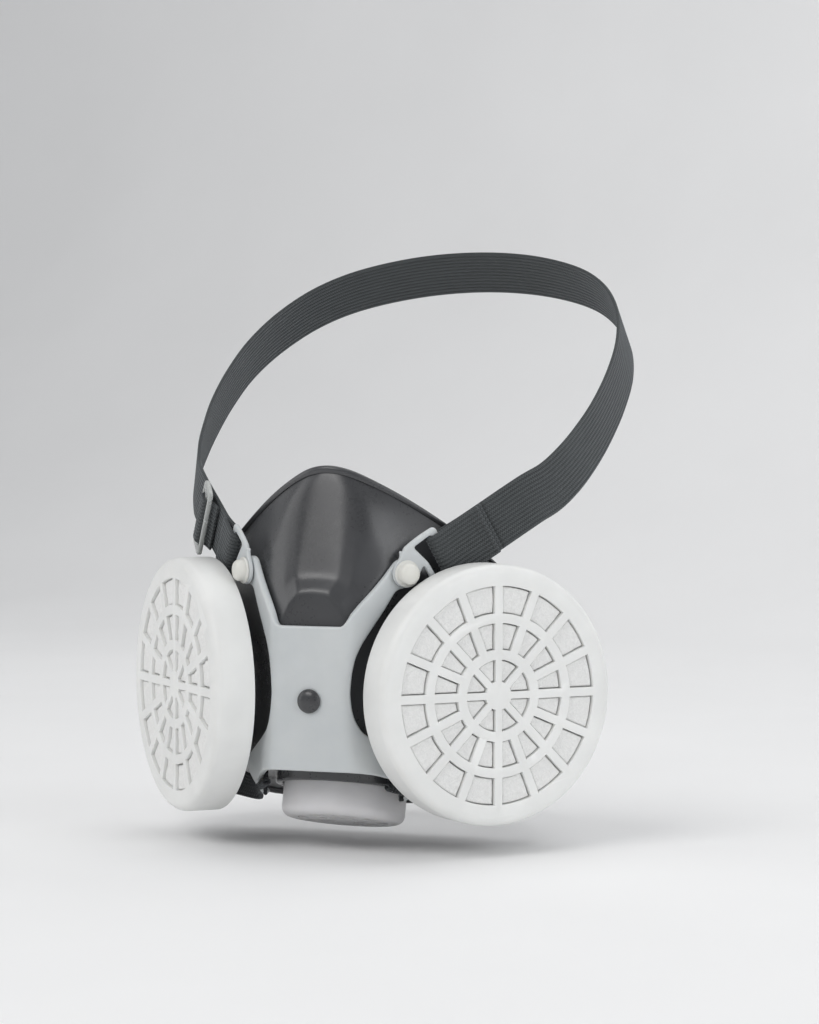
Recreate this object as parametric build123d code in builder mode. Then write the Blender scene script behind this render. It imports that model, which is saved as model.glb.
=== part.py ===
from build123d import *
import os

# Twin-filter rubber half-mask dust respirator.  Millimetres, +Z up.
# Origin: on the mask's centre plane, level with the middle of the front frame,
# 57.6 mm behind the flat muzzle.  -Y is the front, +X is the wearer's left.
# Side pieces are modelled on the wearer's left and mirrored to the right.
#
# Left-side places are given as (out, across, z): "out" is the distance along the port's
# outward axis, "across" the horizontal distance square to it, growing to the back.

PORT_AXIS = Vector(0.7341, -0.6790, 0)
ACROSS = Vector(-PORT_AXIS.Y, PORT_AXIS.X, 0)
PORT_ACROSS, PORT_Z = 8.46, 1.6     # port centre

# The exhalation axis points down and a little forward; "down" is the distance along it.
EXHALE_AXIS = Vector(0, -0.2402, -0.9707)
EXHALE_POINT = Vector(0, -30.0, -37.0)
EXHALE_POINT_DOWN = 43.1

# sizes shared by several pieces
WALL = 2.5                          # facepiece wall
WALL_OUT = 47.2                     # outside of the facepiece's side walls
FLOOR_DOWN = 33.0                   # outside of the facepiece's floor
SEAT_GAP = 0.05                     # between a valve seat's flange and the rubber
PORT_HOLE_R = 16.3
EXHALE_HOLE_R = 13.7
CAP_R = 19.8
MUZZLE_Y = -57.6
FRAME_BACK_Y, FRAME_FRONT_Y = -58.0, -60.5
STUD_R = 2.4
ARM_OUT, ARM_T = 47.6, 2.6          # frame's side arms: inner face and thickness
RIVET_PLACE = (-16.0, 39.5)         # (across, z)
BUCKLE_OUT, BUCKLE_T = 50.5, 1.4    # buckle: inner face and thickness


def point(out, across, z):
    """Point on the wearer's left."""
    return PORT_AXIS * out + ACROSS * across + Vector(0, 0, z)


def side(out, across=0, z=0):
    """Plane square to the port axis; local X is across, local Y is up."""
    return Plane(origin=point(out, across, z), x_dir=ACROSS, z_dir=PORT_AXIS)


def port(out):
    """Side plane centred on the port."""
    return side(out, PORT_ACROSS, PORT_Z)


def exhale(down):
    """Plane square to the exhalation axis."""
    origin = EXHALE_POINT + EXHALE_AXIS * (down - EXHALE_POINT_DOWN)
    return Plane(origin=origin, x_dir=(1, 0, 0), z_dir=EXHALE_AXIS)


def front(y):
    """Forward-facing plane at depth y; local X, Y are (x, z)."""
    return Plane(origin=(0, y, 0), x_dir=(1, 0, 0), z_dir=(0, -1, 0))


def flipped(vector):
    return Vector(-vector.X, vector.Y, vector.Z)


def flipped_plane(plane):
    """The plane's twin on the wearer's right."""
    return Plane(
        origin=flipped(plane.origin), x_dir=flipped(plane.x_dir), z_dir=flipped(plane.z_dir)
    )


def tangent(points, i):
    """Unit direction of a run of points at point i, taken between its neighbours."""
    return (points[min(i + 1, len(points) - 1)] - points[max(i - 1, 0)]).normalized()


def outer_edges(piece, axis):
    """Edges of the face farthest along an axis."""
    return piece.faces().sort_by(lambda face: face.center().dot(axis))[-1].edges()


def save(piece, name):
    piece.part.label = name
    export_step(piece.part, f"parts/{name}.step")


def save_pair(left, name):
    save(left, "left_" + name)
    with BuildPart() as right:
        mirror(left.part, about=Plane.YZ)
    save(right, "right_" + name)


# ------------------------------------------------------------ facepiece -----
PORT_CUT = 12.0                     # reach of the port cut to each side of the wall's outside
COLLAR_DOWN, COLLAR_HEIGHT = 29.5, 7.6
COLLAR_R, COLLAR_GAP = 22.6, 0.6    # outer radius, and gap round the cap
STUD_ROOT = 1.0                     # how deep the stud starts in the muzzle
STUD_HEAD_R, STUD_HEAD_T = 3.75, 1.9
STUD_HEAD_FILLET = 0.9


def side_x(y):
    """Half-width of the outer side wall at depth y."""
    return (WALL_OUT - PORT_AXIS.Y * y) / PORT_AXIS.X


def floor_z(y):
    """Height of the outside of the floor at depth y."""
    return (FLOOR_DOWN - EXHALE_AXIS.Y * y) / EXHALE_AXIS.Z


# Half outlines at depths y.  Points (x, z): crown, shoulder, cheek, side top, side bottom,
# chin, keel.
FORM = [
    (MUZZLE_Y, [(0, 34), (5, 33.5), (8.3, 29.5), (side_x(MUZZLE_Y), 24),
                (side_x(MUZZLE_Y), -15.5), (8, floor_z(MUZZLE_Y)), (0, floor_z(MUZZLE_Y))]),
    (-45.0, [(0, 73), (8, 71), (15.5, 62), (side_x(-45), 42.5),
             (side_x(-45), -18.5), (15, floor_z(-45)), (0, floor_z(-45))]),
    (-26.0, [(0, 92), (14, 86), (30, 66), (side_x(-26), 42),
             (side_x(-26), -22.5), (27, floor_z(-26)), (0, floor_z(-26))]),
    (-10.0, [(0, 99), (20, 93), (42, 67), (side_x(-10), 36),
             (side_x(-10), -25), (37, floor_z(-10)), (0, floor_z(-10))]),
    (4.0, [(0, 101), (22, 95), (46, 66), (57.5, 33), (57.5, -27), (42, -40), (0, -44)]),
]
# inset of the hollow: sideways, and the (x, z) points' rise from crown to keel
INSET_X = 1.0
INSET_RISE = [-0.8, -0.8, -0.8, -0.8, 0.8, 2.0, 2.0]

# edge that meets the face, as (y, z), and the open region behind it
FACE_CURVE = [
    (-46.5, 76), (-45, 72), (-33, 60), (-20, 45), (-8, 25),
    (-2, 5), (-1.5, -15), (-2.5, -30), (-3, -46),
]
BEHIND_FACE = [FACE_CURVE[-1], (-3, -80), (60, -80), (60, 130), (-46.5, 130), FACE_CURVE[0]]
FACE_CUT_HALF = 80


def inset(y, points):
    inner = [
        (x - (INSET_X if x > 0 else 0), z + rise)
        for (x, z), rise in zip(points, INSET_RISE)
    ]
    return y + WALL, inner


def outline(points):
    """Whole outline from its half on the +X side."""
    return points + [(-x, z) for x, z in reversed(points) if x > 0]


def make_facepiece():
    hollow = [inset(y, points) for y, points in FORM]
    with BuildPart() as facepiece:
        # outside form, then its hollow
        for sections, mode in ((FORM, Mode.ADD), (hollow, Mode.SUBTRACT)):
            for y, points in sections:
                with BuildSketch(front(y)):
                    Polygon(*outline(points), align=None)
            loft(ruled=True, mode=mode)
        # open everything behind the curve of the face
        with BuildSketch(Plane.YZ.offset(-FACE_CUT_HALF)):
            with BuildLine():
                Spline(*FACE_CURVE)
                Polyline(*BEHIND_FACE)
            make_face()
        extrude(amount=2 * FACE_CUT_HALF, mode=Mode.SUBTRACT)
        # side ports and exhalation port
        left_port = port(WALL_OUT - PORT_CUT)
        for plane in (left_port, flipped_plane(left_port)):
            with BuildSketch(plane):
                Circle(PORT_HOLE_R)
            extrude(amount=2 * PORT_CUT, mode=Mode.SUBTRACT)
        with BuildSketch(exhale(24)):
            Circle(EXHALE_HOLE_R)
        extrude(amount=16, mode=Mode.SUBTRACT)
        # collar moulded round the exhalation cap
        with BuildSketch(exhale(COLLAR_DOWN)):
            Circle(COLLAR_R)
            Circle(CAP_R + COLLAR_GAP, mode=Mode.SUBTRACT)
        extrude(amount=COLLAR_HEIGHT)
        # stud that holds the frame's middle: shank through the frame, then head
        with BuildSketch(front(MUZZLE_Y + STUD_ROOT)):
            Circle(STUD_R)
        extrude(amount=STUD_ROOT + MUZZLE_Y - FRAME_FRONT_Y + 0.3)
        with BuildSketch(front(FRAME_FRONT_Y - 0.05)):
            Circle(STUD_HEAD_R)
        extrude(amount=STUD_HEAD_T)
        fillet(
            facepiece.edges().filter_by(GeomType.CIRCLE).group_by(Axis.Y)[0], STUD_HEAD_FILLET
        )
    return facepiece


# ------------------------------------------------------------ front frame ---
RIVET_HOLE_R = 1.9
STUD_HOLE_R = STUD_R + 0.05
# middle plate, (x, z)
PLATE = [(-12.4, 25.0), (-10.6, 23.3), (10.6, 23.3), (12.4, 25.0), (12.4, -22), (-12.4, -22)]
# upper arm, narrow waist and root of the lower arm, (across, z)
UPPER_ARM = [
    (-36.0, 24.4), (-34.9, 26.3), (-31.4, 30.0), (-26.5, 34.6), (-22.7, 38.6), (-20.5, 41.8),
    (-18.3, 43.9), (-13.7, 43.9), (-11.3, 41.4), (-11.3, 37.6), (-13.6, 35.3), (-17.0, 34.9),
    (-18.8, 34.2), (-23.2, 27.7), (-27.1, 22.6), (-30.7, 17.8), (-33.0, 13.4), (-34.2, 8.5),
    (-34.8, 2.5), (-34.2, -2.5), (-33.0, -6.0), (-30.6, -9.6), (-30.6, -22.9), (-36.0, -22.0),
]
# lower arm's outer face: across, then z and out of its upper edge, z and out of its lower edge
LOWER_ARM = [
    (-31.9, -8.4, 50.2, -22.7, 50.2),
    (-25.9, -12.8, 50.2, -23.4, 49.7),
    (-19.9, -16.2, 50.2, -25.2, 48.2),
    (-14.9, -19.2, 50.2, -27.2, 46.8),
    (-9.9, -22.5, 49.2, -29.6, 45.8),
]
LOWER_ARM_T = 2.2
HOOK_ENDS = [Vector(26.3, -38.2, -28.4), Vector(23.1, -40.1, -33.4)]
HOOK_SECTION = (2.6, 2.2)


def make_frame():
    arm_edges = [
        (point(upper_out, across, upper_z), point(lower_out, across, lower_z))
        for across, upper_z, upper_out, lower_z, lower_out in LOWER_ARM
    ]
    arm_middles = [(upper + lower) * 0.5 for upper, lower in arm_edges]
    with BuildPart() as frame:
        with BuildSketch(front(FRAME_BACK_Y)):
            Polygon(*PLATE, align=None)
        extrude(amount=FRAME_BACK_Y - FRAME_FRONT_Y)
        # upper arm and its rivet hole
        with BuildSketch(side(ARM_OUT)):
            Polygon(*UPPER_ARM, align=None)
        extrude(amount=ARM_T)
        with BuildSketch(side(ARM_OUT - 1)):
            with Locations(RIVET_PLACE):
                Circle(RIVET_HOLE_R)
        extrude(amount=ARM_T + 2, mode=Mode.SUBTRACT)
        # lower arm that sweeps back under the filter
        for i, (upper, lower) in enumerate(arm_edges):
            run = tangent(arm_middles, i)
            drop = lower - upper
            outward = drop.cross(run).normalized()
            centre = arm_middles[i] - outward * (LOWER_ARM_T / 2)
            with BuildSketch(Plane(origin=centre, x_dir=drop.normalized(), z_dir=run)):
                Rectangle(drop.length, LOWER_ARM_T)
        loft(ruled=True)
        # hook for the neck strap
        hook_run = tangent(HOOK_ENDS, 0)
        for end in HOOK_ENDS:
            hook_x = hook_run.cross(Vector(0, 1, 0))
            with BuildSketch(Plane(origin=end, x_dir=hook_x, z_dir=hook_run)):
                Rectangle(*HOOK_SECTION)
        loft(ruled=True)
        mirror(about=Plane.YZ)
        # hole for the facepiece's stud
        with BuildSketch(front(FRAME_BACK_Y + 1)):
            Circle(STUD_HOLE_R)
        extrude(amount=6, mode=Mode.SUBTRACT)
    return frame


# ------------------------------------------------------------ buckles -------
BAR_ACROSS, BAR_Z = -1.9, 44.4      # centre of the bar that the strap folds round
STRAP_ACROSS, STRAP_RISE = 0.8660, 0.5  # strap's direction at the buckle, in (across, z)
EYE_R = 4.6
NECK = [(-18.9, 41.5), (-17.9, 46), (-18.6, 49.6), (-13.5, 50.6), (-12.2, 37.5)]  # (across, z)
# (distance along the strap, distance up the bar), from the bar's centre
BUCKLE_LOOP = [(-12.0, 9.6), (-11.0, 10.6), (0.3, 10.6), (1.3, 9.6), (1.3, -10.6), (-8.2, -10.6)]
BUCKLE_WINDOW = [(-8.2, 8.8), (-1.2, 8.8), (-1.2, -8.9), (-5.6, -8.9)]


def from_bar(along, up):
    """(across, z) of a point measured from the bar's centre."""
    return (
        BAR_ACROSS + along * STRAP_ACROSS - up * STRAP_RISE,
        BAR_Z + along * STRAP_RISE + up * STRAP_ACROSS,
    )


def make_buckle():
    with BuildPart() as buckle:
        # eye round the rivet, neck and flat loop
        with BuildSketch(side(BUCKLE_OUT)):
            with Locations(RIVET_PLACE):
                Circle(EYE_R)
            Polygon(*NECK, align=None)
            Polygon(*[from_bar(*corner) for corner in BUCKLE_LOOP], align=None)
        extrude(amount=BUCKLE_T)
        # rivet hole and window for the strap
        with BuildSketch(side(BUCKLE_OUT - 1)):
            with Locations(RIVET_PLACE):
                Circle(STUD_R)
            Polygon(*[from_bar(*corner) for corner in BUCKLE_WINDOW], align=None)
        extrude(amount=BUCKLE_T + 2, mode=Mode.SUBTRACT)
    return buckle


# ------------------------------------------------------------ rivets --------
ARM_FACE_OUT = ARM_OUT + ARM_T
BUCKLE_FACE_OUT = BUCKLE_OUT + BUCKLE_T
SHANK_R = 1.85
# (start out, radius, length)
RIVET_STEPS = [
    (ARM_OUT, SHANK_R, ARM_T),                                          # through the arm
    (ARM_FACE_OUT + 0.02, STUD_R - 0.06, BUCKLE_FACE_OUT - ARM_FACE_OUT + 0.3),  # in the eye
    (ARM_FACE_OUT - 0.2, SHANK_R, 0.6),                                 # joins those two
    (BUCKLE_FACE_OUT + 0.08, 3.9, 4.4),                                 # head
]
RIVET_HEAD_FILLET = 1.6


def make_rivet():
    with BuildPart() as rivet:
        for start, radius, length in RIVET_STEPS:
            with BuildSketch(side(start)):
                with Locations(RIVET_PLACE):
                    Circle(radius)
            extrude(amount=length)
        fillet(outer_edges(rivet, PORT_AXIS), RIVET_HEAD_FILLET)
    return rivet


# ------------------------------------------------------------ valves --------
OPENING_R, HUB_R, SEAT_SPOKE = 11.0, 3.0, 1.8
BARREL_GAP = 0.15                   # between a seat's barrel and its hole in the rubber
PIN_R = 1.4                         # pin that holds the disc
PIN_HEAD_R, PIN_HEAD_T = 2.2, 0.7
DISC_BORE_R = PIN_R + 0.1


def spoked_opening():
    """Air opening with a hub and four spokes, drawn in the current sketch."""
    Circle(OPENING_R)
    Circle(HUB_R, mode=Mode.SUBTRACT)
    Rectangle(24, SEAT_SPOKE, mode=Mode.SUBTRACT)
    Rectangle(SEAT_SPOKE, 24, mode=Mode.SUBTRACT)


# inhalation valve; steps are (start out, radius, length)
INLET_BACK_OUT = WALL_OUT - WALL - 2.3
INLET_BODY = [
    (WALL_OUT + SEAT_GAP, 20.5, 1.75),                          # outer flange
    (INLET_BACK_OUT, PORT_HOLE_R - BARREL_GAP, WALL + 3.0),     # barrel
    (INLET_BACK_OUT, 17.3, 2.1),                                # inner flange
]
SOCKET_OUT = 44.6
INLET_SOCKET = [
    (SOCKET_OUT, 15.1, 2.5),        # groove behind the lip
    (SOCKET_OUT, 14.0, 8),          # socket
]
INLET_PIN = [(39.9, PIN_R, 2.6), (39.3, PIN_HEAD_R, PIN_HEAD_T)]
NOTCH_SPAN, NOTCH_W = 30.2, 6.4
INLET_DISC_OUT, INLET_DISC_R, INLET_DISC_T = 41.75, 13.2, 0.6
GASKET_OUT, GASKET_T = WALL_OUT + 1.86, 1.9
GASKET_R, GASKET_BORE_R = 20.0, 15.6


def make_inhalation_seat():
    with BuildPart() as seat:
        for start, radius, length in INLET_BODY:
            with BuildSketch(port(start)):
                Circle(radius)
            extrude(amount=length)
        for start, radius, length in INLET_SOCKET:
            with BuildSketch(port(start)):
                Circle(radius)
            extrude(amount=length, mode=Mode.SUBTRACT)
        # two entry notches for the cartridge's lugs
        with BuildSketch(port(46)):
            with Locations(Rotation(0, 0, 45)):
                Rectangle(NOTCH_SPAN, NOTCH_W)
        extrude(amount=6, mode=Mode.SUBTRACT)
        with BuildSketch(port(40)):
            spoked_opening()
        extrude(amount=8, mode=Mode.SUBTRACT)
        for start, radius, length in INLET_PIN:
            with BuildSketch(port(start)):
                Circle(radius)
            extrude(amount=length)
    return seat


def make_ring(plane, radius, bore_radius, thickness):
    """Flat ring: a valve disc or a gasket."""
    with BuildPart() as ring:
        with BuildSketch(plane):
            Circle(radius)
            Circle(bore_radius, mode=Mode.SUBTRACT)
        extrude(amount=thickness)
    return ring


# exhalation valve; steps are (start down, radius, length)
OUTLET_BODY = [
    (FLOOR_DOWN + SEAT_GAP, 18.1, 2.0),             # outer flange
    (28.4, EXHALE_HOLE_R - BARREL_GAP, 6.0),        # barrel
    (28.2, 15.4, 2.1),                              # inner flange
]
OUTLET_PIN = [(35.0, PIN_R, 3.1), (38.1, PIN_HEAD_R, PIN_HEAD_T)]
OUTLET_DISC_DOWN, OUTLET_DISC_R, OUTLET_DISC_T = 35.1, 13.4, 0.7
CAP_RIM_DOWN, CAP_HEIGHT = 35.1, 12.2
CAP_WALL, CAP_FACE_T, CAP_FILLET = 1.5, 1.8, 3.0
CAP_SLOTS = [(5.0, 8.6, 2), (11.0, 14.6, 4)]        # inner radius, outer radius, bars
CAP_BAR = 2.4


def make_exhalation_seat():
    with BuildPart() as seat:
        for start, radius, length in OUTLET_BODY:
            with BuildSketch(exhale(start)):
                Circle(radius)
            extrude(amount=length)
        with BuildSketch(exhale(27)):
            spoked_opening()
        extrude(amount=10, mode=Mode.SUBTRACT)
        for start, radius, length in OUTLET_PIN:
            with BuildSketch(exhale(start)):
                Circle(radius)
            extrude(amount=length)
    return seat


def make_exhalation_cover():
    with BuildPart() as cover:
        with BuildSketch(exhale(CAP_RIM_DOWN)):
            Circle(CAP_R)
        extrude(amount=CAP_HEIGHT)
        fillet(outer_edges(cover, EXHALE_AXIS), CAP_FILLET)
        with BuildSketch(exhale(CAP_RIM_DOWN)):
            Circle(CAP_R - CAP_WALL)
        extrude(amount=CAP_HEIGHT - CAP_FACE_T, mode=Mode.SUBTRACT)
        # outlet slots: two rings of arcs in the cap's face
        with BuildSketch(exhale(CAP_RIM_DOWN + CAP_HEIGHT - 3)):
            for inner, outer, bars in CAP_SLOTS:
                with BuildSketch(mode=Mode.PRIVATE) as ring:
                    Circle(outer)
                    Circle(inner, mode=Mode.SUBTRACT)
                    for k in range(bars):
                        with Locations(Rotation(0, 0, 180.0 / bars * k)):
                            Rectangle(60, CAP_BAR, mode=Mode.SUBTRACT)
                add(ring.sketch)
        extrude(amount=6, mode=Mode.SUBTRACT)
    return cover


# ------------------------------------------------------------ cartridges ----
FILTER_R = 41.0
FILTER_FACE_OUT = 67.3
COVER_DEPTH, COVER_WALL, COVER_FILLET = 12.7, 2.0, 2.9
COVER_BACK_OUT = FILTER_FACE_OUT - COVER_DEPTH
GRILLE_T = 3.0
# rings of open cells: inner radius, outer radius, bars across, bar width
CELL_RINGS = [(4.5, 11.3, 4, 2.2), (14.4, 22.7, 8, 2.7), (25.7, 34.3, 8, 2.7)]
BASE_BACK_OUT = 51.0
NECK_END_OUT, NECK_R, NECK_BORE_R = 45.4, 13.92, 11.5
LUG_SPAN, LUG_W, LUG_T = 29.6, 5.4, 1.2
# (start out, radius, length)
BASE_STEPS = [
    (BASE_BACK_OUT, 29.0, 3.7),                                         # step
    (COVER_BACK_OUT + 0.05, FILTER_R - COVER_WALL - 0.08, 2.0),         # plate in the cover
    (NECK_END_OUT, NECK_R, BASE_BACK_OUT - NECK_END_OUT),               # neck
]
PAD_R = 38.3


def make_filter_base():
    with BuildPart() as base:
        for start, radius, length in BASE_STEPS:
            with BuildSketch(port(start)):
                Circle(radius)
            extrude(amount=length)
        # two lugs on the neck
        with BuildSketch(port(NECK_END_OUT)):
            Rectangle(LUG_SPAN, LUG_W)
            Circle(NECK_R - 0.5, mode=Mode.SUBTRACT)
        extrude(amount=LUG_T)
        with BuildSketch(port(45)):
            Circle(NECK_BORE_R)
        extrude(amount=14, mode=Mode.SUBTRACT)
    return base


def make_filter_pad():
    with BuildPart() as pad:
        with BuildSketch(port(COVER_BACK_OUT + 2.3)):
            Circle(PAD_R)
        extrude(amount=COVER_DEPTH - GRILLE_T - 2.5)
    return pad


def make_filter_cover():
    with BuildPart() as cover:
        with BuildSketch(port(COVER_BACK_OUT)):
            Circle(FILTER_R)
        extrude(amount=COVER_DEPTH)
        fillet(outer_edges(cover, PORT_AXIS), COVER_FILLET)
        with BuildSketch(port(COVER_BACK_OUT)):
            Circle(FILTER_R - COVER_WALL)
        extrude(amount=COVER_DEPTH - GRILLE_T, mode=Mode.SUBTRACT)
        # grille
        with BuildSketch(port(FILTER_FACE_OUT - GRILLE_T - 1)):
            for inner, outer, bars, bar_width in CELL_RINGS:
                with BuildSketch(mode=Mode.PRIVATE) as ring:
                    Circle(outer)
                    Circle(inner, mode=Mode.SUBTRACT)
                    for k in range(bars):
                        with Locations(Rotation(0, 0, 180.0 / bars * k)):
                            Rectangle(90, bar_width, mode=Mode.SUBTRACT)
                add(ring.sketch)
        extrude(amount=GRILLE_T + 2, mode=Mode.SUBTRACT)
    return cover


# ------------------------------------------------------------ straps --------
HEAD_STRAP_W, HEAD_STRAP_T = 17.0, 1.5
NECK_STRAP_W, NECK_STRAP_T = 9.0, 1.3
STRAP_DIR = point(0, STRAP_ACROSS, STRAP_RISE)
STRAP_START = point(BUCKLE_OUT + BUCKLE_T / 2, *from_bar(2.6, 0))
STRAIGHT = 32.0                     # straight run from the buckle


def along_strap(distance):
    return STRAP_START + STRAP_DIR * distance


# Left halves, front to back: (point, outward normal).  The back station is on the centre plane.
HEAD_HALF = [
    (STRAP_START, PORT_AXIS),
    (along_strap(STRAIGHT * 0.5), PORT_AXIS),
    (along_strap(STRAIGHT), PORT_AXIS),
    ((61.5, -5.5, 66.0), (0.84, -0.52, 0.04)),
    ((65.2, 4.0, 72.0), (0.91, -0.40, 0.08)),
    ((67.6, 15, 79), (0.95, -0.25, 0.12)),
    ((69.2, 27, 87), (0.97, -0.10, 0.16)),
    ((69.6, 42, 97), (0.96, 0.06, 0.24)),
    ((68, 58, 107.5), (0.91, 0.22, 0.33)),
    ((63, 74, 117.5), (0.80, 0.42, 0.42)),
    ((54, 88.5, 126.5), (0.62, 0.60, 0.50)),
    ((41, 100, 133), (0.42, 0.72, 0.55)),
    ((21.5, 108, 137.5), (0.20, 0.80, 0.57)),
]
HEAD_BACK = ((0, 110.5, 139.0), (0, 0.82, 0.58))
NECK_HALF = [
    ((29.0, -32.6, -32.2), (0.60, -0.72, -0.34)),
    ((31.4, -28.2, -31.8), (0.50, -0.80, -0.30)),
    ((39, -25, -30.8), (0.53, -0.84, -0.10)),
    ((46.2, -21, -30.2), (0.62, -0.78, 0)),
    ((53.1, -14.0, -30.0), (0.78, -0.62, 0)),
    ((57.7, -8, -30.0), (0.88, -0.47, 0)),
    ((60.2, 0.5, -30.2), (0.99, -0.12, 0)),
    ((59.8, 8, -30.4), (0.98, 0.20, 0)),
    ((56.5, 17, -30.7), (0.95, 0.30, 0)),
    ((50, 27, -31.2), (0.90, 0.43, 0)),
    ((43.5, 38, -31.8), (0.79, 0.61, 0)),
    ((34.5, 47.5, -32.3), (0.62, 0.78, 0)),
    ((23.5, 54.5, -32.7), (0.44, 0.90, 0)),
    ((12, 58.5, -33.0), (0.22, 0.97, 0)),
]
NECK_BACK = ((0, 60, -33.1), (0, 1, 0))


def make_strap(half, back, width, thickness):
    """Flat webbing, symmetric about the centre plane, with ruled faces between stations."""
    left = [(Vector(place), Vector(normal)) for place, normal in half + [back]]
    right = [(flipped(place), flipped(normal)) for place, normal in reversed(left[:-1])]
    stations = left + right
    places = [place for place, normal in stations]
    with BuildPart() as strap:
        for i, (place, normal) in enumerate(stations):
            run = tangent(places, i)
            width_dir = normal.cross(run).normalized()
            with BuildSketch(Plane(origin=place, x_dir=width_dir, z_dir=run)):
                Rectangle(width, thickness)
        loft(ruled=True)
    return strap


SLIDER_MIDDLE = 18.5                # distance along the strap's straight run
SLIDER_LENGTH = 9.0
SLIDER_W, SLIDER_T, SLIDER_CORNER = 24.0, 4.6, 1.0


def make_slider():
    """Rounded sleeve round the head strap, on the wearer's right."""
    left_end = Plane(
        origin=along_strap(SLIDER_MIDDLE - SLIDER_LENGTH / 2),
        x_dir=PORT_AXIS.cross(STRAP_DIR),
        z_dir=STRAP_DIR,
    )
    with BuildPart() as slider:
        with BuildSketch(flipped_plane(left_end)):
            RectangleRounded(SLIDER_W, SLIDER_T, SLIDER_CORNER)
            Rectangle(HEAD_STRAP_W + 0.8, HEAD_STRAP_T + 0.5, mode=Mode.SUBTRACT)
        extrude(amount=SLIDER_LENGTH)
    return slider


# ------------------------------------------------------------ output --------
os.makedirs("parts", exist_ok=True)

save(make_facepiece(), "facepiece")
save(make_frame(), "frame")
save_pair(make_buckle(), "strap_buckle")
save_pair(make_rivet(), "rivet")
save_pair(make_inhalation_seat(), "inhalation_seat")
save_pair(
    make_ring(port(INLET_DISC_OUT), INLET_DISC_R, DISC_BORE_R, INLET_DISC_T),
    "inhalation_disc",
)
save_pair(make_ring(port(GASKET_OUT), GASKET_R, GASKET_BORE_R, GASKET_T), "port_gasket")
save_pair(make_filter_base(), "filter_base")
save_pair(make_filter_pad(), "filter_pad")
save_pair(make_filter_cover(), "filter_cover")
save(make_exhalation_seat(), "exhalation_seat")
save(
    make_ring(exhale(OUTLET_DISC_DOWN), OUTLET_DISC_R, DISC_BORE_R, OUTLET_DISC_T),
    "exhalation_disc",
)
save(make_exhalation_cover(), "exhalation_cover")
save(make_strap(HEAD_HALF, HEAD_BACK, HEAD_STRAP_W, HEAD_STRAP_T), "head_strap")
save(make_slider(), "strap_slider")
save(make_strap(NECK_HALF, NECK_BACK, NECK_STRAP_W, NECK_STRAP_T), "neck_strap")
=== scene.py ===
"""A half-mask respirator with two round filters, built over its CAD pieces.

Shapes are in millimetres and become metres when a mesh is made. The mask faces -Y, +Z is
up and +X is the wearer's left. Each filter port has its own axes: OUT (outward along the
port's axis), ACROSS (across the port, towards the back) and UP.
"""
import bpy, bmesh, math
import numpy as np
from mathutils import Vector, Matrix
from mathutils.geometry import delaunay_2d_cdt


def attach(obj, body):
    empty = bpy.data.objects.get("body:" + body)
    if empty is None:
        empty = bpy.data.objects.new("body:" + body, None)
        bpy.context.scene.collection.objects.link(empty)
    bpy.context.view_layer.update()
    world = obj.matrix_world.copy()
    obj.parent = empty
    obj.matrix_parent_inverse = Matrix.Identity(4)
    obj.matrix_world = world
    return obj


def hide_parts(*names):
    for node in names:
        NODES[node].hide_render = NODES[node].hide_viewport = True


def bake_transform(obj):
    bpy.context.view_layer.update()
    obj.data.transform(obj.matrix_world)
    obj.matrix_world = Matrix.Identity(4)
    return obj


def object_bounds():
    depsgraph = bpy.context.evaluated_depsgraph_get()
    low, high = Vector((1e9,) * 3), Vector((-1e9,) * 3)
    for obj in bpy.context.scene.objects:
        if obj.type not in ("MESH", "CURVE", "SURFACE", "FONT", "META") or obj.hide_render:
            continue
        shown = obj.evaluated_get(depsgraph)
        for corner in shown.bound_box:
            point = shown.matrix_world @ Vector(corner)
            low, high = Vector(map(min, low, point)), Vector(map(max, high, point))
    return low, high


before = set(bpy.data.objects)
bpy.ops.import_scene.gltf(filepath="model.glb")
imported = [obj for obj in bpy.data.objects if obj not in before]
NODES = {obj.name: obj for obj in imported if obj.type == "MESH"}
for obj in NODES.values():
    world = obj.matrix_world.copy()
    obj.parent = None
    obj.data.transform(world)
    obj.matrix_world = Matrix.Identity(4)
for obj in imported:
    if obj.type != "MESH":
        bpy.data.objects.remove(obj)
CAD_LO, CAD_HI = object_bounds()

# ---------------------------------------------------------------- shared dimensions, mm
OUT = np.array([0.7341, -0.6790, 0.0])       # outward axis of the wearer's-left port
ACROSS = np.array([0.6790, 0.7341, 0.0])
UP = np.array([0.0, 0.0, 1.0])
MIRROR = np.array([-1.0, 1, 1])              # wearer's left to wearer's right
SIDES = (("left", 1), ("right", -1))

PORT_WALL = 47.2                             # rubber wall at the port, along OUT
PORT_ACROSS, PORT_UP = 8.46, 1.6             # centre of the port
MUZZLE_Y = -57.6                             # flat front of the rubber
RUBBER_WALL = 2.4
FILTER_FACE = 67.3                           # outer face of the filter, along OUT

OUTLET_AXIS = np.array([0.0, -0.2402, -0.9707])   # down and a little forward
OUTLET_CENTRE = np.array([0.0, -30.0, -37.0])
OUTLET_LEVEL = 43.1                          # OUTLET_CENTRE, measured along OUTLET_AXIS
CHIN_LEVEL = 33.0                            # flat underside, measured along OUTLET_AXIS

RIVET_ACROSS, RIVET_UP = -16.0, 39.5
BUCKLE_FACE = 51.95                          # outer face of the buckle, along OUT

# The head strap leaves the buckle's bar along STRAP_DIR; BAR_DIR runs along the bar.
BAR_ACROSS, BAR_UP, BAR_OUT = -1.9, 44.4, 51.2
DIR_ACROSS, DIR_UP = 0.8660, 0.5
STRAP_DIR = ACROSS * DIR_ACROSS + UP * DIR_UP
BAR_DIR = ACROSS * (-DIR_UP) + UP * DIR_ACROSS

HEAD_WIDTH, HEAD_RIBS, NECK_RIBS = 17.0, 13, 8


def columns(*values):
    """Numbers or arrays, each with a last axis to multiply a direction by."""
    return [np.asarray(value)[..., None] for value in values]


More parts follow.
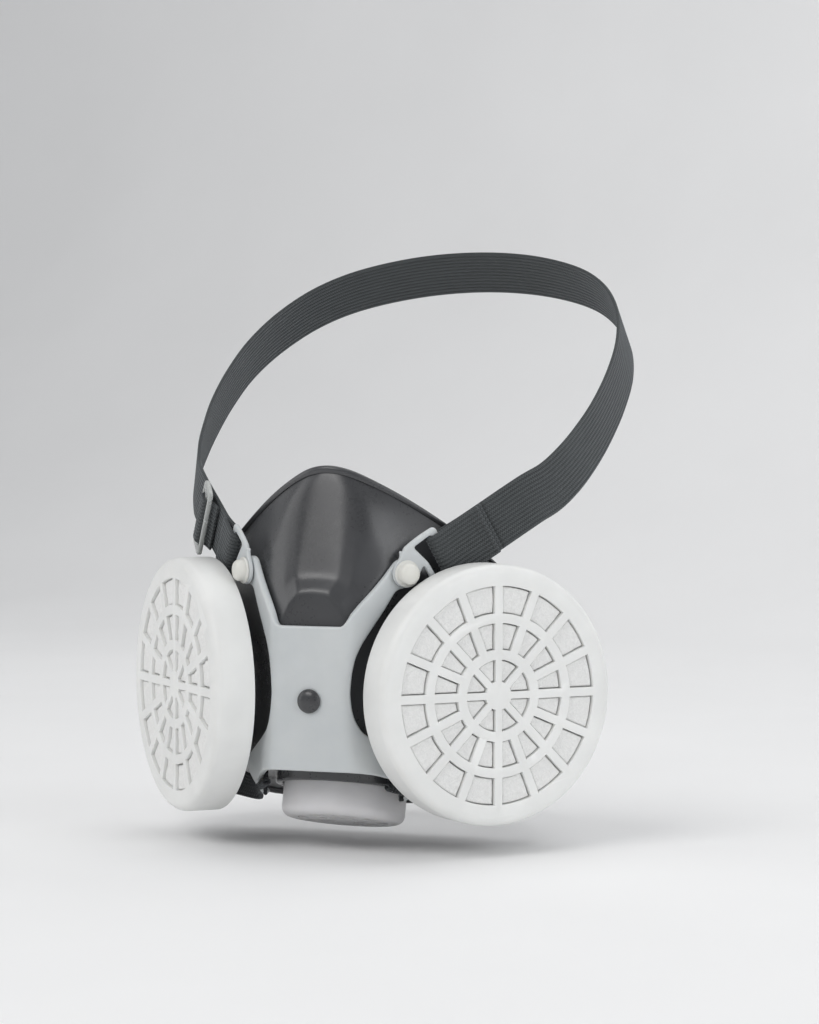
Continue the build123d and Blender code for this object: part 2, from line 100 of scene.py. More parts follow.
def port_point(out, across, up, side=1):
    """Points in port axes; side -1 gives the wearer's right."""
    out, across, up = columns(out, across, up)
    return (OUT * out + ACROSS * across + UP * up) * np.array([side, 1, 1])


def strap_point(along, out, across=0.0):
    """Points by distance from the bar along the strap, along OUT, and along the bar."""
    along, out, across = columns(along, out, across)
    return OUT * out + ACROSS * BAR_ACROSS + UP * BAR_UP + STRAP_DIR * along + BAR_DIR * across


def outlet_point(level):
    return OUTLET_CENTRE + OUTLET_AXIS * (level - OUTLET_LEVEL)


BAR = strap_point(0, BAR_OUT)


# ---------------------------------------------------------------- materials
class Material:
    """A Principled material whose textures use object coordinates, in metres."""

    def __init__(self, name):
        self.data = bpy.data.materials.new(name)
        self.data.use_nodes = True
        self.tree = self.data.node_tree
        self.tree.nodes.clear()
        output = self.node("ShaderNodeOutputMaterial")
        self.shader = self.node("ShaderNodeBsdfPrincipled")
        self.link(self.shader.outputs[0], output.inputs[0])
        self.coords = self.node("ShaderNodeTexCoord").outputs["Object"]
        self.normal = None

    def node(self, kind):
        return self.tree.nodes.new(kind)

    def link(self, source, target):
        self.tree.links.new(source, target)

    def feed(self, socket, value):
        """Links a socket, or stores a number, vector or RGB colour."""
        if isinstance(value, bpy.types.NodeSocket):
            self.link(value, socket)
        elif socket.type == "RGBA":
            socket.default_value = (*value, 1.0)
        else:
            socket.default_value = value

    def mapped(self):
        mapping = self.node("ShaderNodeMapping")
        self.link(self.coords, mapping.inputs["Vector"])
        return mapping.outputs[0]

    def noise(self, scale, detail=3.0, roughness=0.5, vector=None, distortion=0.0):
        node = self.node("ShaderNodeTexNoise")
        node.inputs["Scale"].default_value = scale
        node.inputs["Detail"].default_value = detail
        node.inputs["Roughness"].default_value = roughness
        node.inputs["Distortion"].default_value = distortion
        self.link(self.coords if vector is None else vector, node.inputs["Vector"])
        return node.outputs["Fac"]

    def ramp(self, value, span, to=(0, 1)):
        """Maps the range span onto the range to."""
        node = self.node("ShaderNodeMapRange")
        node.inputs["From Min"].default_value, node.inputs["From Max"].default_value = span
        node.inputs["To Min"].default_value, node.inputs["To Max"].default_value = to
        self.link(value, node.inputs["Value"])
        return node.outputs[0]

    def mix(self, factor, first, second):
        node = self.node("ShaderNodeMix")
        node.data_type = "RGBA"
        self.link(factor, node.inputs["Factor"])
        self.feed(node.inputs[6], first)
        self.feed(node.inputs[7], second)
        return node.outputs[2]

    def math(self, operation, first, second=0.0):
        node = self.node("ShaderNodeMath")
        node.operation = operation
        self.feed(node.inputs[0], first)
        self.feed(node.inputs[1], second)
        return node.outputs[0]

    def edge(self, span):
        """0 on flats, 1 on convex edges."""
        geometry = self.node("ShaderNodeNewGeometry")
        return self.ramp(geometry.outputs["Pointiness"], span=span)

    def bump(self, height, strength, distance):
        """Adds a bump (distance in metres) on top of the ones already there."""
        node = self.node("ShaderNodeBump")
        node.inputs["Strength"].default_value = strength
        node.inputs["Distance"].default_value = distance
        self.link(height, node.inputs["Height"])
        if self.normal is not None:
            self.link(self.normal, node.inputs["Normal"])
        self.normal = node.outputs[0]
        self.link(self.normal, self.shader.inputs["Normal"])

    def set(self, **values):
        """Sets shader inputs; underscores stand for the spaces in their names."""
        for key, value in values.items():
            self.feed(self.shader.inputs[key.replace("_", " ")], value)


def tone(colour, gain, lift=0.0):
    return tuple(channel * gain + lift for channel in colour)


def make_rubber(name, base, rough):
    m = Material(name)
    big = m.noise(scale=45, detail=3, roughness=0.55)
    fine = m.noise(scale=900, detail=2)
    dust = m.noise(scale=120, detail=2)
    colour = m.mix(m.ramp(big, span=(0.35, 0.65)), tone(base, gain=0.86),
                   tone(base, gain=1.16, lift=0.002))
    colour = m.mix(m.ramp(dust, span=(0.64, 0.90), to=(0, 0.12)), colour,
                   tone(base, gain=1.7, lift=0.01))
    # painted highlight: convex edges mixed towards a paler rubber
    edge_highlight = 0.28
    colour = m.mix(m.math("MULTIPLY", m.edge(span=(0.52, 0.62)), edge_highlight), colour,
                   tone(base, gain=1.9, lift=0.015))
    m.set(Base_Color=colour,
          Roughness=m.ramp(m.math("ADD", big, fine), span=(0.7, 1.3),
                           to=(rough - 0.06, rough + 0.08)),
          Specular_IOR_Level=0.5, Coat_Weight=0.35, Coat_Roughness=0.26,
          Sheen_Weight=0.08, Sheen_Roughness=0.5)
    m.bump(fine, strength=0.04, distance=0.00004)
    m.bump(big, strength=0.10, distance=0.0009)
    return m.data


def make_plastic(name, base, rough, scatter, grain, clear=0.0, tint=None):
    """scatter: subsurface weight; clear: transmission weight; grain: bump strength."""
    m = Material(name)
    big = m.noise(scale=60, detail=3)
    mid = m.noise(scale=300, detail=2)
    fine = m.noise(scale=2600, detail=3, roughness=0.6)
    colour = m.mix(m.ramp(big, span=(0.36, 0.66)), tint or tone(base, gain=0.936), base)
    colour = m.mix(m.ramp(mid, span=(0.50, 0.85), to=(0, 0.25)), colour, tone(base, gain=0.94))
    # painted highlight: convex edges mixed towards a paler plastic
    edge_highlight = 0.5
    colour = m.mix(m.math("MULTIPLY", m.edge(span=(0.52, 0.60)), edge_highlight), colour,
                   tone(base, gain=1.08, lift=0.02))
    m.set(Base_Color=colour,
          Roughness=m.ramp(mid, span=(0.3, 0.7), to=(rough - 0.06, rough + 0.07)),
          IOR=1.49, Subsurface_Weight=scatter, Subsurface_Radius=(1.0, 0.95, 0.85),
          Subsurface_Scale=0.0025, Transmission_Weight=clear)
    m.bump(fine, strength=grain, distance=0.00006)
    m.bump(mid, strength=grain, distance=0.0003)
    return m.data


def make_felt(name, base):
    m = Material(name)
    vector = m.mapped()
    fibres = m.noise(scale=900, detail=6, roughness=0.7, vector=vector, distortion=1.2)
    fuzz = m.noise(scale=2400, detail=4, roughness=0.7, vector=vector, distortion=2.0)
    big = m.noise(scale=70, detail=3)
    colour = m.mix(m.ramp(fibres, span=(0.35, 0.65)), tone(base, gain=0.86), base)
    colour = m.mix(m.ramp(big, span=(0.4, 0.7), to=(0, 0.4)), colour, tone(base, gain=0.93))
    m.set(Base_Color=colour, Roughness=0.92, Sheen_Weight=0.35, Sheen_Roughness=0.6,
          Specular_IOR_Level=0.2)
    m.bump(fibres, strength=0.5, distance=0.0006)
    m.bump(fuzz, strength=0.4, distance=0.0002)
    return m.data


def make_webbing(name, base, ribs, width):
    """Ribbed elastic; the attribute "suv" holds (mm across, mm along, face)."""
    m = Material(name)
    attribute = m.node("ShaderNodeAttribute")
    attribute.attribute_name = "suv"
    split = m.node("ShaderNodeSeparateXYZ")
    m.link(attribute.outputs["Vector"], split.inputs[0])
    across, along = split.outputs[0], split.outputs[1]
    pitch = width / ribs
    rib = m.math("COSINE", m.math("MULTIPLY", across, 2 * math.pi / pitch))
    # short stitches, shifted by half a step on every other half rib
    stitch_length = 0.85
    half_rib = m.math("FLOOR", m.math("MULTIPLY", m.math("ADD", across, width / 2), 2.0 / pitch))
    keep_positive = 100
    shift = m.math("MULTIPLY", m.math("MODULO", m.math("ADD", half_rib, keep_positive), 2), 0.5)
    steps = m.math("ADD", m.math("MULTIPLY", along, 1 / stitch_length), shift)
    stitch = m.math("SINE", m.math("MULTIPLY", steps, 2 * math.pi))
    rib_share, stitch_share = 0.6, 0.4
    weave = m.math("ADD", m.math("MULTIPLY", rib, rib_share),
                   m.math("MULTIPLY", stitch, stitch_share))
    big = m.noise(scale=90, detail=3)
    fuzz = m.noise(scale=3800, detail=3, roughness=0.7)
    # painted shade and highlight: the colour follows the weave's relief, darker in the grooves
    # between ribs and stitches and lighter on their crowns
    colour = m.mix(m.ramp(weave, span=(-0.9, 0.9)), tone(base, gain=0.55),
                   tone(base, gain=1.35, lift=0.004))
    colour = m.mix(m.ramp(big, span=(0.35, 0.7), to=(0, 0.35)), colour, tone(base, gain=1.15))
    colour = m.mix(m.ramp(fuzz, span=(0.62, 0.85), to=(0, 0.5)), colour,
                   tone(base, gain=1.9, lift=0.02))
    m.set(Base_Color=colour, Roughness=m.ramp(fuzz, span=(0.3, 0.7), to=(0.72, 0.92)),
          Sheen_Weight=0.25, Sheen_Roughness=0.45, Sheen_Tint=(0.8, 0.85, 0.9),
          Specular_IOR_Level=0.3)
    m.bump(weave, strength=0.55, distance=0.00022)
    m.bump(fuzz, strength=0.25, distance=0.0001)
    return m.data


def make_thread(name):
    m = Material(name)
    twist = m.noise(scale=5200, detail=3, roughness=0.6)
    m.set(Base_Color=m.mix(m.ramp(twist, span=(0.4, 0.65)), (0.018, 0.018, 0.02),
                           (0.06, 0.062, 0.066)),
          Roughness=0.7, Sheen_Weight=0.3)
    m.bump(twist, strength=0.4, distance=0.00008)
    return m.data


def make_floor_paint(name):
    m = Material(name)
    patches = m.noise(scale=6, detail=3)
    m.set(Base_Color=m.mix(m.ramp(patches, span=(0.3, 0.7)), (0.90, 0.90, 0.90),
                           (0.93, 0.93, 0.93)),
          Roughness=0.65)
    m.bump(m.noise(scale=900, detail=3, roughness=0.6), strength=0.02, distance=0.0002)
    return m.data


RUBBER = make_rubber("rubber_grey", (0.036, 0.0372, 0.0405), rough=0.30)
GASKET = make_rubber("gasket_black", (0.020, 0.020, 0.022), rough=0.55)
WHITE = make_plastic("filter_white", (0.83, 0.835, 0.82), rough=0.46, scatter=0.12, grain=0.08)
MILKY = make_plastic("frame_milky", (0.67, 0.695, 0.70), rough=0.36, scatter=0.35, grain=0.07,
                     clear=0.12, tint=(0.61, 0.64, 0.65))
IVORY = make_plastic("rivet_ivory", (0.74, 0.735, 0.69), rough=0.35, scatter=0.3, grain=0.05)
CAP = make_plastic("cap_milky", (0.80, 0.79, 0.80), rough=0.40, scatter=0.35, grain=0.07,
                   clear=0.05)
CLEAR = make_plastic("slider_clear", (0.62, 0.64, 0.63), rough=0.22, scatter=0.15, grain=0.04,
                     clear=0.35)
SILICONE = make_plastic("silicone_flap", (0.62, 0.60, 0.55), rough=0.30, scatter=0.4,
                        grain=0.05, clear=0.15)
FELT = make_felt("filter_felt", (0.90, 0.90, 0.885))
HEAD_WEB = make_webbing("webbing_ribbed", (0.056, 0.061, 0.063), ribs=HEAD_RIBS,
                        width=HEAD_WIDTH)
NECK_WEB = make_webbing("webbing_neck", (0.030, 0.032, 0.034), ribs=NECK_RIBS, width=10.0)
THREAD = make_thread("stitch_thread")


# ---------------------------------------------------------------- curves and grids
def unit(vectors):
    return vectors / np.linalg.norm(vectors, axis=-1, keepdims=True)


def square_to(vectors, axes):
    """Each vector less its part along the unit axis of the same row, made unit."""
    return unit(vectors - axes * (vectors * axes).sum(1, keepdims=True))


def arc_length(points):
    return np.r_[0, np.cumsum(np.linalg.norm(np.diff(points, axis=0), axis=1))]


def at_lengths(points, wanted, lengths):
    """Points of a polyline at the wanted lengths along it."""
    return np.stack([np.interp(wanted, lengths, points[:, k])
                     for k in range(points.shape[1])], -1)


def arc(x, y, radius, degrees):
    return [(x + radius * math.cos(math.radians(g)), y + radius * math.sin(math.radians(g)))
            for g in degrees]


def circle(x, y, radius, count):
    return np.array([(x + radius * math.cos(g), y + radius * math.sin(g))
                     for g in np.linspace(0, 2 * math.pi, count, endpoint=False)])


def rectangle(half_width, low, high):
    return [(-half_width, low), (half_width, low), (half_width, high), (-half_width, high)]


def catmull(points, per_span):
    """Catmull-Rom curve through the points."""
    points = np.asarray(points, float)
    padded = np.vstack([2 * points[0] - points[1], points, 2 * points[-1] - points[-2]])
    t = np.linspace(0, 1, per_span, endpoint=False)[:, None]
    spans = []
    for i in range(1, len(padded) - 2):
        p0, p1, p2, p3 = padded[i - 1:i + 3]
        spans.append(0.5 * ((2 * p1) + (-p0 + p2) * t + (2 * p0 - 5 * p1 + 4 * p2 - p3) * t ** 2
                            + (-p0 + 3 * p1 - 3 * p2 + p3) * t ** 3))
    spans.append(padded[-2][None, :])
    return np.vstack(spans)


def soften(grid, axis, passes, mask=None):
    """[1 2 1]/4 smoothing. Axis 1 is a closed ring; axis 0 is open and keeps its ends."""
    for _ in range(passes):
        if axis == 1:
            blurred = 0.25 * np.roll(grid, 1, 1) + 0.5 * grid + 0.25 * np.roll(grid, -1, 1)
        else:
            blurred = grid.copy()
            blurred[1:-1] = 0.25 * grid[:-2] + 0.5 * grid[1:-1] + 0.25 * grid[2:]
        grid = blurred if mask is None else grid + (blurred - grid) * mask
    return grid


def grid_faces(around, rings):
    """Quads between neighbouring closed rings."""
    faces = []
    for j in range(rings - 1):
        for i in range(around):
            i2 = (i + 1) % around
            faces.append((j * around + i, j * around + i2,
                          (j + 1) * around + i2, (j + 1) * around + i))
    return faces


# ---------------------------------------------------------------- mesh helpers
def new_obj(name, verts_mm, faces, material):
    mesh = bpy.data.meshes.new(name)
    mesh.from_pydata([tuple(v) for v in (np.asarray(verts_mm, float) / 1000.0)], [],
                     [tuple(int(i) for i in face) for face in faces])
    mesh.validate()
    mesh.materials.append(material)
    for polygon in mesh.polygons:
        polygon.use_smooth = True
    ob = bpy.data.objects.new(name, mesh)
    bpy.context.scene.collection.objects.link(ob)
    mesh.update()
    return ob


def fix_normals(ob, weld=False):
    """Turns all faces outward; weld first merges vertices that coincide."""
    bm = bmesh.new()
    bm.from_mesh(ob.data)
    if weld:
        bmesh.ops.remove_doubles(bm, verts=bm.verts, dist=1e-6)
    bmesh.ops.recalc_face_normals(bm, faces=bm.faces)
    bm.to_mesh(ob.data)
    bm.free()
    ob.data.update()


def apply_mods(ob):
    depsgraph = bpy.context.evaluated_depsgraph_get()
    mesh = bpy.data.meshes.new_from_object(ob.evaluated_get(depsgraph),
                                           preserve_all_data_layers=True, depsgraph=depsgraph)
    ob.modifiers.clear()
    ob.data = mesh


def sharp_by_angle(ob, degrees):
    """Smooth shading that stays crisp at corners wider than the angle."""
    bm = bmesh.new()
    bm.from_mesh(ob.data)
    limit = math.radians(degrees)
    for edge in bm.edges:
        edge.smooth = not (len(edge.link_faces) == 2 and edge.calc_face_angle(0.0) > limit)
    for face in bm.faces:
        face.smooth = True
    bm.to_mesh(ob.data)
    bm.free()


def join(name, parts):
    """One object from several; the parts are removed."""
    bm = bmesh.new()
    materials = []
    for part in parts:
        for material in part.data.materials:
            if material not in materials:
                materials.append(material)
    for part in parts:
        mesh = part.data.copy()
        mesh.transform(part.matrix_world)
        slots = [materials.index(material) for material in part.data.materials]
        for polygon in mesh.polygons:
            polygon.material_index = slots[polygon.material_index]
        bm.from_mesh(mesh)
        bpy.data.meshes.remove(mesh)
    mesh = bpy.data.meshes.new(name)
    bm.to_mesh(mesh)
    bm.free()
    for material in materials:
        mesh.materials.append(material)
    ob = bpy.data.objects.new(name, mesh)
    bpy.context.scene.collection.objects.link(ob)
    for part in parts:
        bpy.data.objects.remove(part)
    return ob


def lathe(name, origin, axis, start, profile, material, segments=96, weld=False):
    """Turns a profile of (radius, height) about the axis, starting from direction start."""
    axis = np.asarray(axis, float) / np.linalg.norm(axis)
    x = np.asarray(start, float)
    x = x - axis * (x @ axis)
    x /= np.linalg.norm(x)
    y = np.cross(axis, x)
    verts, faces, rings = [], [], []
    for radius, height in profile:
        if radius < 1e-6:
            rings.append([len(verts)])
            verts.append(np.asarray(origin) + axis * height)
            continue
        rings.append(range(len(verts), len(verts) + segments))
        for k in range(segments):
            angle = 2 * math.pi * k / segments
            verts.append(np.asarray(origin) + axis * height
                         + radius * (math.cos(angle) * x + math.sin(angle) * y))
    for a, b in zip(rings[:-1], rings[1:]):
        for k in range(segments):
            k2 = (k + 1) % segments
            if len(a) == 1:
                faces.append((a[0], b[k], b[k2]))
            elif len(b) == 1:
                faces.append((a[k], b[0], a[k2]))
            else:
                faces.append((a[k], b[k], b[k2], a[k2]))
    ob = new_obj(name, verts, faces, material)
    fix_normals(ob)
    if weld:
        fix_normals(ob, weld=True)
    return ob


def closed_grid(name, rings, start, end, material):
    """Skin over closed rings (ring, around, xyz), closed to a point at either end."""
    count, around = rings.shape[:2]
    centre = count * around
    faces = grid_faces(around, count)
    for i in range(around):
        i2 = (i + 1) % around
        faces.append((centre, i2, i))
        faces.append((centre + 1, centre - around + i, centre - around + i2))
    verts = np.vstack([rings.reshape(-1, 3), start[None], end[None]])
    ob = new_obj(name, verts, faces, material)
    fix_normals(ob)
    return ob


def register(ob, body, node=None):
    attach(ob, body)
    if node:
        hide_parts(node)


# ---------------------------------------------------------------- facepiece
def side_x(y):
    """x of the flat port wall at depth y."""
    return (PORT_WALL - OUT[1] * y) / OUT[0]


def bottom_z(y):
    """z of the flat underside at depth y."""
    return (CHIN_LEVEL - OUTLET_AXIS[1] * y) / OUTLET_AXIS[2]


# Half outlines by depth y, front to back: seven (x, z) corners from the top to the bottom.
STATIONS = [
    (MUZZLE_Y, [(0, 34), (5, 33.5), (8.3, 29.5), (side_x(MUZZLE_Y), 24),
                (side_x(MUZZLE_Y), -15.5), (8, bottom_z(MUZZLE_Y)), (0, bottom_z(MUZZLE_Y))]),
    (-54.2, [(0, 38.6), (6.6, 38.2), (11.0, 34.6), (side_x(-54.2), 29.6),
             (side_x(-54.2), -16.3), (9.9, bottom_z(-54.2)), (0, bottom_z(-54.2))]),
    (-45.0, [(0, 73), (6.5, 70.5), (14.5, 61), (side_x(-45), 42.5),
             (side_x(-45), -18.5), (15, bottom_z(-45)), (0, bottom_z(-45))]),
    (-26.0, [(0, 92), (11.5, 86), (28.5, 66), (side_x(-26), 42),
             (side_x(-26), -22.5), (27, bottom_z(-26)), (0, bottom_z(-26))]),
    (-10.0, [(0, 99), (17, 93), (40.5, 67), (side_x(-10), 36),
             (side_x(-10), -25), (37, bottom_z(-10)), (0, bottom_z(-10))]),
    (4.0, [(0, 101), (19, 95), (44.5, 66), (57.5, 33), (57.5, -27), (42, -40), (0, -44)]),
]
STATION_Y = np.array([y for y, _ in STATIONS])
CORNERS = np.array([corners for _, corners in STATIONS], float)   # station, corner, (x, z)
SHARES = arc_length(CORNERS[3])              # the -26 station sets the spacing of the corners
SHARES = SHARES / SHARES[-1]

# (y, z) of the open back edge, seen from the side, top to bottom
RIM_CURVE = catmull([(-46.5, 76), (-45, 72), (-33, 60), (-20, 45), (-8, 25), (-2, 5),
                     (-1.5, -15), (-2.5, -30), (-3, -46)], per_span=40)
RIM_CURVE = RIM_CURVE[np.argsort(RIM_CURVE[:, 1])]

# Section of the rim: (outward from the surface, onward past the rim)
RIM_LIP = [(0.25, -1.6), (0.85, -1.1), (1.15, -0.5), (1.15, 0.15), (0.8, 0.65), (0.2, 0.9),
           (-0.7, 0.95), (-1.8, 0.7), (-3.2, 0.55), (-5.2, 0.9), (-7.0, 1.5), (-7.5, 1.5),
           (-7.7, 1.1), (-7.3, 0.7), (-5.2, -0.3), (-3.6, -0.9), (-2.7, -1.8), (-2.45, -3.2)]

HALF_STEPS = 88        # steps round half the outline
WALL_RINGS = 44        # rings from the muzzle to the rim
MUZZLE_RINGS = 9       # rings on the flat muzzle


def outline_at(y, shares):
    """Points of the half outline at depth y, at shares of its length."""
    corners = np.stack([[np.interp(y, STATION_Y, CORNERS[:, i, k]) for k in (0, 1)]
                        for i in range(7)])
    return np.stack([np.interp(shares, SHARES, corners[:, 0]), np.full_like(shares, y),
                     np.interp(shares, SHARES, corners[:, 1])], -1)


def rim_depths(shares):
    """Depth at which each line along the shell meets the rim curve."""
    depths = np.linspace(MUZZLE_Y, STATION_Y[-1], 400)
    grid = np.stack([outline_at(y, shares) for y in depths])
    rim = []
    for i in range(len(shares)):
        beyond = grid[:, i, 1] - np.interp(grid[:, i, 2], RIM_CURVE[:, 1], RIM_CURVE[:, 0])
        past = np.where(beyond >= 0)[0]
        rim.append(depths[past[0]] if len(past) else STATION_Y[-1])
    return soften(np.array(rim), axis=0, passes=3)


def outer_surface():
    """Softened outer surface as (ring, around, xyz), muzzle to rim."""
    shares = np.linspace(0, 1, HALF_STEPS + 1)
    rim = rim_depths(shares)
    half = np.zeros((WALL_RINGS + MUZZLE_RINGS, HALF_STEPS + 1, 3))
    centre = np.array([0.0, MUZZLE_Y, 4.0])
    for i in range(HALF_STEPS + 1):
        line = np.array([outline_at(y, shares[i:i + 1])[0]
                         for y in np.linspace(MUZZLE_Y, rim[i], 60)])
        lengths = arc_length(line)
        half[MUZZLE_RINGS:, i] = at_lengths(line, np.linspace(0, lengths[-1], WALL_RINGS),
                                            lengths)
        for j in range(MUZZLE_RINGS):
            half[j, i] = centre + (line[0] - centre) * ((j + 0.6) / MUZZLE_RINGS) ** 0.9
    grid = np.concatenate([half, half[:, -2:0:-1] * MIRROR], 1)

    # masks: the nose slope above z 37, away from the muzzle; and a fade at the rim
    ring = np.arange(grid.shape[0])[:, None, None]
    nose = (np.clip((grid[..., 2:3] - 37) / 22, 0, 1) ** 1.2
            * np.clip((ring - MUZZLE_RINGS - 2) / 7, 0, 1))
    rim_fade = np.clip((grid.shape[0] - 1 - ring) / 3, 0, 1)
    grid = soften(grid, axis=1, passes=2)
    grid = soften(grid, axis=0, passes=1)
    grid = soften(grid, axis=1, passes=26, mask=nose * 0.9)
    grid = soften(grid, axis=0, passes=14, mask=nose * rim_fade * 0.9)
    return soften(grid, axis=1, passes=2)


def outward_normals(grid):
    normals = np.cross(np.roll(grid, -1, 1) - np.roll(grid, 1, 1), np.gradient(grid, axis=0))
    normals /= np.linalg.norm(normals, axis=2, keepdims=True) + 1e-9
    if ((grid - grid.mean((0, 1))) * normals).sum(2).mean() < 0:
        normals = -normals
    for _ in range(2):
        normals = unit(soften(normals, axis=1, passes=1))
    return normals


def build_shell():
    """Thick rubber shell with a rolled rim and three round openings."""
    outer = outer_surface()
    normals = outward_normals(outer)
    onward = square_to(unit(outer[-1] - outer[-3]), normals[-1])
    lip = np.stack([outer[-1] + normals[-1] * a + onward * b for a, b in RIM_LIP])
    inner = (outer - normals * RUBBER_WALL)[::-1][2:]
    rings = np.concatenate([outer[:-1], lip, inner], 0)
    shell = closed_grid("facepiece_shell", rings, rings[0].mean(0), rings[-1].mean(0), RUBBER)

    def cutter(origin, axis, start, radius, depth):
        return lathe("cut", origin, axis, start,
                     [(0, 0), (radius, 0), (radius, depth), (0, depth)], RUBBER)

    cutters = [cutter(port_point(PORT_WALL - 9, PORT_ACROSS, PORT_UP, side),
                      OUT * np.array([side, 1, 1]), UP, radius=16.25, depth=18)
               for _, side in SIDES]
    cutters.append(cutter(outlet_point(24), OUTLET_AXIS, [1, 0, 0], radius=13.65, depth=16))
    for tool in cutters:
        boolean = shell.modifiers.new("c", "BOOLEAN")
        boolean.object = tool
        boolean.operation = "DIFFERENCE"
        boolean.solver = "EXACT"
        apply_mods(shell)
    for tool in cutters:
        bpy.data.objects.remove(tool)
    sharp_by_angle(shell, 50)
    return shell


def build_stud():
    """Mushroom-headed stud on the muzzle, through the frame."""
    profile = [(0, 0), (2.35, 0), (2.35, 3.95), (3.55, 3.96)]
    profile += arc(3.35, 4.45, 0.45, range(-70, 71, 20))
    profile += [(3.1, 5.25), (2.4, 5.62), (1.5, 5.83), (0.7, 5.9), (0, 5.92)]
    return lathe("stud", [0, MUZZLE_Y + 1.0, 0], [0, -1, 0], UP, profile, RUBBER, segments=64)


def build_collar():
    """Rubber ring round the exhalation cap."""
    top, rim = 29.7 - OUTLET_LEVEL, 37.1 - OUTLET_LEVEL
    inner, outer = 20.4, 22.6
    profile = [(inner, top), (inner, rim - 0.7), (inner + 0.2, rim - 0.2), (inner + 0.7, rim),
               (outer - 0.8, rim), (outer - 0.25, rim - 0.25), (outer, rim - 0.8),
               (outer + 0.15, rim - 3.4), (outer + 1.0, rim - 4.6), (outer + 1.0, top),
               (inner, top)]
    return lathe("collar", OUTLET_CENTRE, OUTLET_AXIS, [1, 0, 0], profile, RUBBER,
                 segments=128, weld=True)


register(join("facepiece_rubber", [build_shell(), build_stud(), build_collar()]),
         "root", "facepiece")


# ---------------------------------------------------------------- pieces taken from the CAD
def build_moulded(node, body, material, bevel):
    """A copy of a CAD piece with its flats merged and its edges rounded."""
    name = node + "_moulded"
    mesh = NODES[node].data.copy()
    mesh.name = name
    ob = bpy.data.objects.new(name, mesh)
    bpy.context.scene.collection.objects.link(ob)
    bm = bmesh.new()
    bm.from_mesh(mesh)
    bmesh.ops.remove_doubles(bm, verts=bm.verts, dist=2e-6)
    bmesh.ops.dissolve_limit(bm, angle_limit=math.radians(1.5), verts=bm.verts,
                             edges=bm.edges, delimit=set())
    bmesh.ops.recalc_face_normals(bm, faces=bm.faces)
    bm.to_mesh(mesh)
    bm.free()
    mesh.materials.clear()
    mesh.materials.append(material)
    rounding = ob.modifiers.new("b", "BEVEL")
    rounding.width = bevel / 1000.0
    rounding.segments = 3
    rounding.limit_method = "ANGLE"
    rounding.angle_limit = math.radians(28)
    rounding.use_clamp_overlap = True
    apply_mods(ob)
    sharp_by_angle(ob, 34)
    register(ob, body, node)


def paint(node, material):
    mesh = NODES[node].data
    mesh.materials.clear()
    mesh.materials.append(material)
    for polygon in mesh.polygons:
        polygon.material_index = 0


for side_name, _ in SIDES:
    build_moulded(side_name + "_filter_cover", side_name + "_cover", WHITE,
                  bevel=0.35)
    build_moulded(side_name + "_filter_base", side_name + "_cartridge", WHITE,
                  bevel=0.4)
    build_moulded(side_name + "_inhalation_seat", "root", CAP, bevel=0.25)
build_moulded("exhalation_cover", "outlet_cap", CAP, bevel=0.4)
build_moulded("exhalation_seat", "root", CAP, bevel=0.25)

for side_name, _ in SIDES:
    paint(side_name + "_port_gasket", GASKET)
    paint(side_name + "_inhalation_disc", SILICONE)
paint("exhalation_disc", SILICONE)


# ---------------------------------------------------------------- webbing
def ribbon(name, path, across, material, width, thick, ribs, start_length=0.0):
    """Sweeps a ribbed section along a path; across holds the width direction at each point."""
    rib_height = 0.13
    steps_per_rib = 6
    tangents = unit(np.gradient(path, axis=0))
    across = square_to(across, tangents)
    normals = np.cross(across, tangents)
    u = np.linspace(-width / 2, width / 2, ribs * steps_per_rib + 1)
    phase = (u + width / 2) * math.pi * ribs / width + math.pi / 2
    crown = rib_height * np.abs(np.cos(phase)) ** 0.7
    edge = np.clip((width / 2 - np.abs(u)) / 0.5, 0, 1) ** 0.5
    height = (thick / 2 - rib_height) * (0.35 + 0.65 * edge) + crown * edge
    # the closed section: over the front face and back along the other
    section_u = np.r_[u, u[::-1]]
    section_h = np.r_[height, -height[::-1]]
    count, around = len(path), len(section_u)
    verts = (path[:, None] + across[:, None] * section_u[None, :, None]
             + normals[:, None] * section_h[None, :, None]).reshape(-1, 3)
    faces = grid_faces(around, count)
    last = (count - 1) * around
    for i in range(len(u) - 1):
        cap = np.array([i, i + 1, around - 2 - i, around - 1 - i])
        faces.append(cap[::-1])
        faces.append(cap + last)
    ob = new_obj(name, verts, faces, material)
    suv = np.zeros((count, around, 3), np.float32)
    suv[..., 0] = section_u[None]
    suv[..., 1] = (start_length + arc_length(path))[:, None]
    suv[..., 2] = np.sign(section_h)[None]
    attribute = ob.data.attributes.new("suv", "FLOAT_VECTOR", "POINT")
    attribute.data.foreach_set("vector", suv.ravel())
    fix_normals(ob)
    return ob


def even_steps(path, across, step):
    """Resamples a path and its width directions; also returns the lengths used."""
    lengths = arc_length(path)
    wanted = np.linspace(0, lengths[-1], int(lengths[-1] / step))
    return at_lengths(path, wanted, lengths), at_lengths(across, wanted, lengths), wanted


# Fold round each buckle's bar: (along the strap from the bar, along OUT)
FOLD_LEFT = np.array([
    (17.2, 52.50), (14, 52.42), (10, 52.40), (6, 52.45), (3, 52.62), (0.6, 52.78),
    (-1.2, 52.62), (-2.35, 52.0), (-2.75, 51.2), (-2.35, 50.4), (-1.2, 49.9), (0.6, 49.85),
    (3, 50.15), (6, 50.75), (9, 51.1), (12, 51.2)])
FOLD_RIGHT = np.array([
    (8.0, 52.35), (6, 52.40), (3, 52.60), (0.6, 52.78), (-1.2, 52.62), (-2.35, 52.0),
    (-2.75, 51.2), (-2.35, 50.4), (-1.2, 49.9), (0.6, 49.85), (3, 50.15), (6, 50.8),
    (9, 51.15), (12, 51.2)])

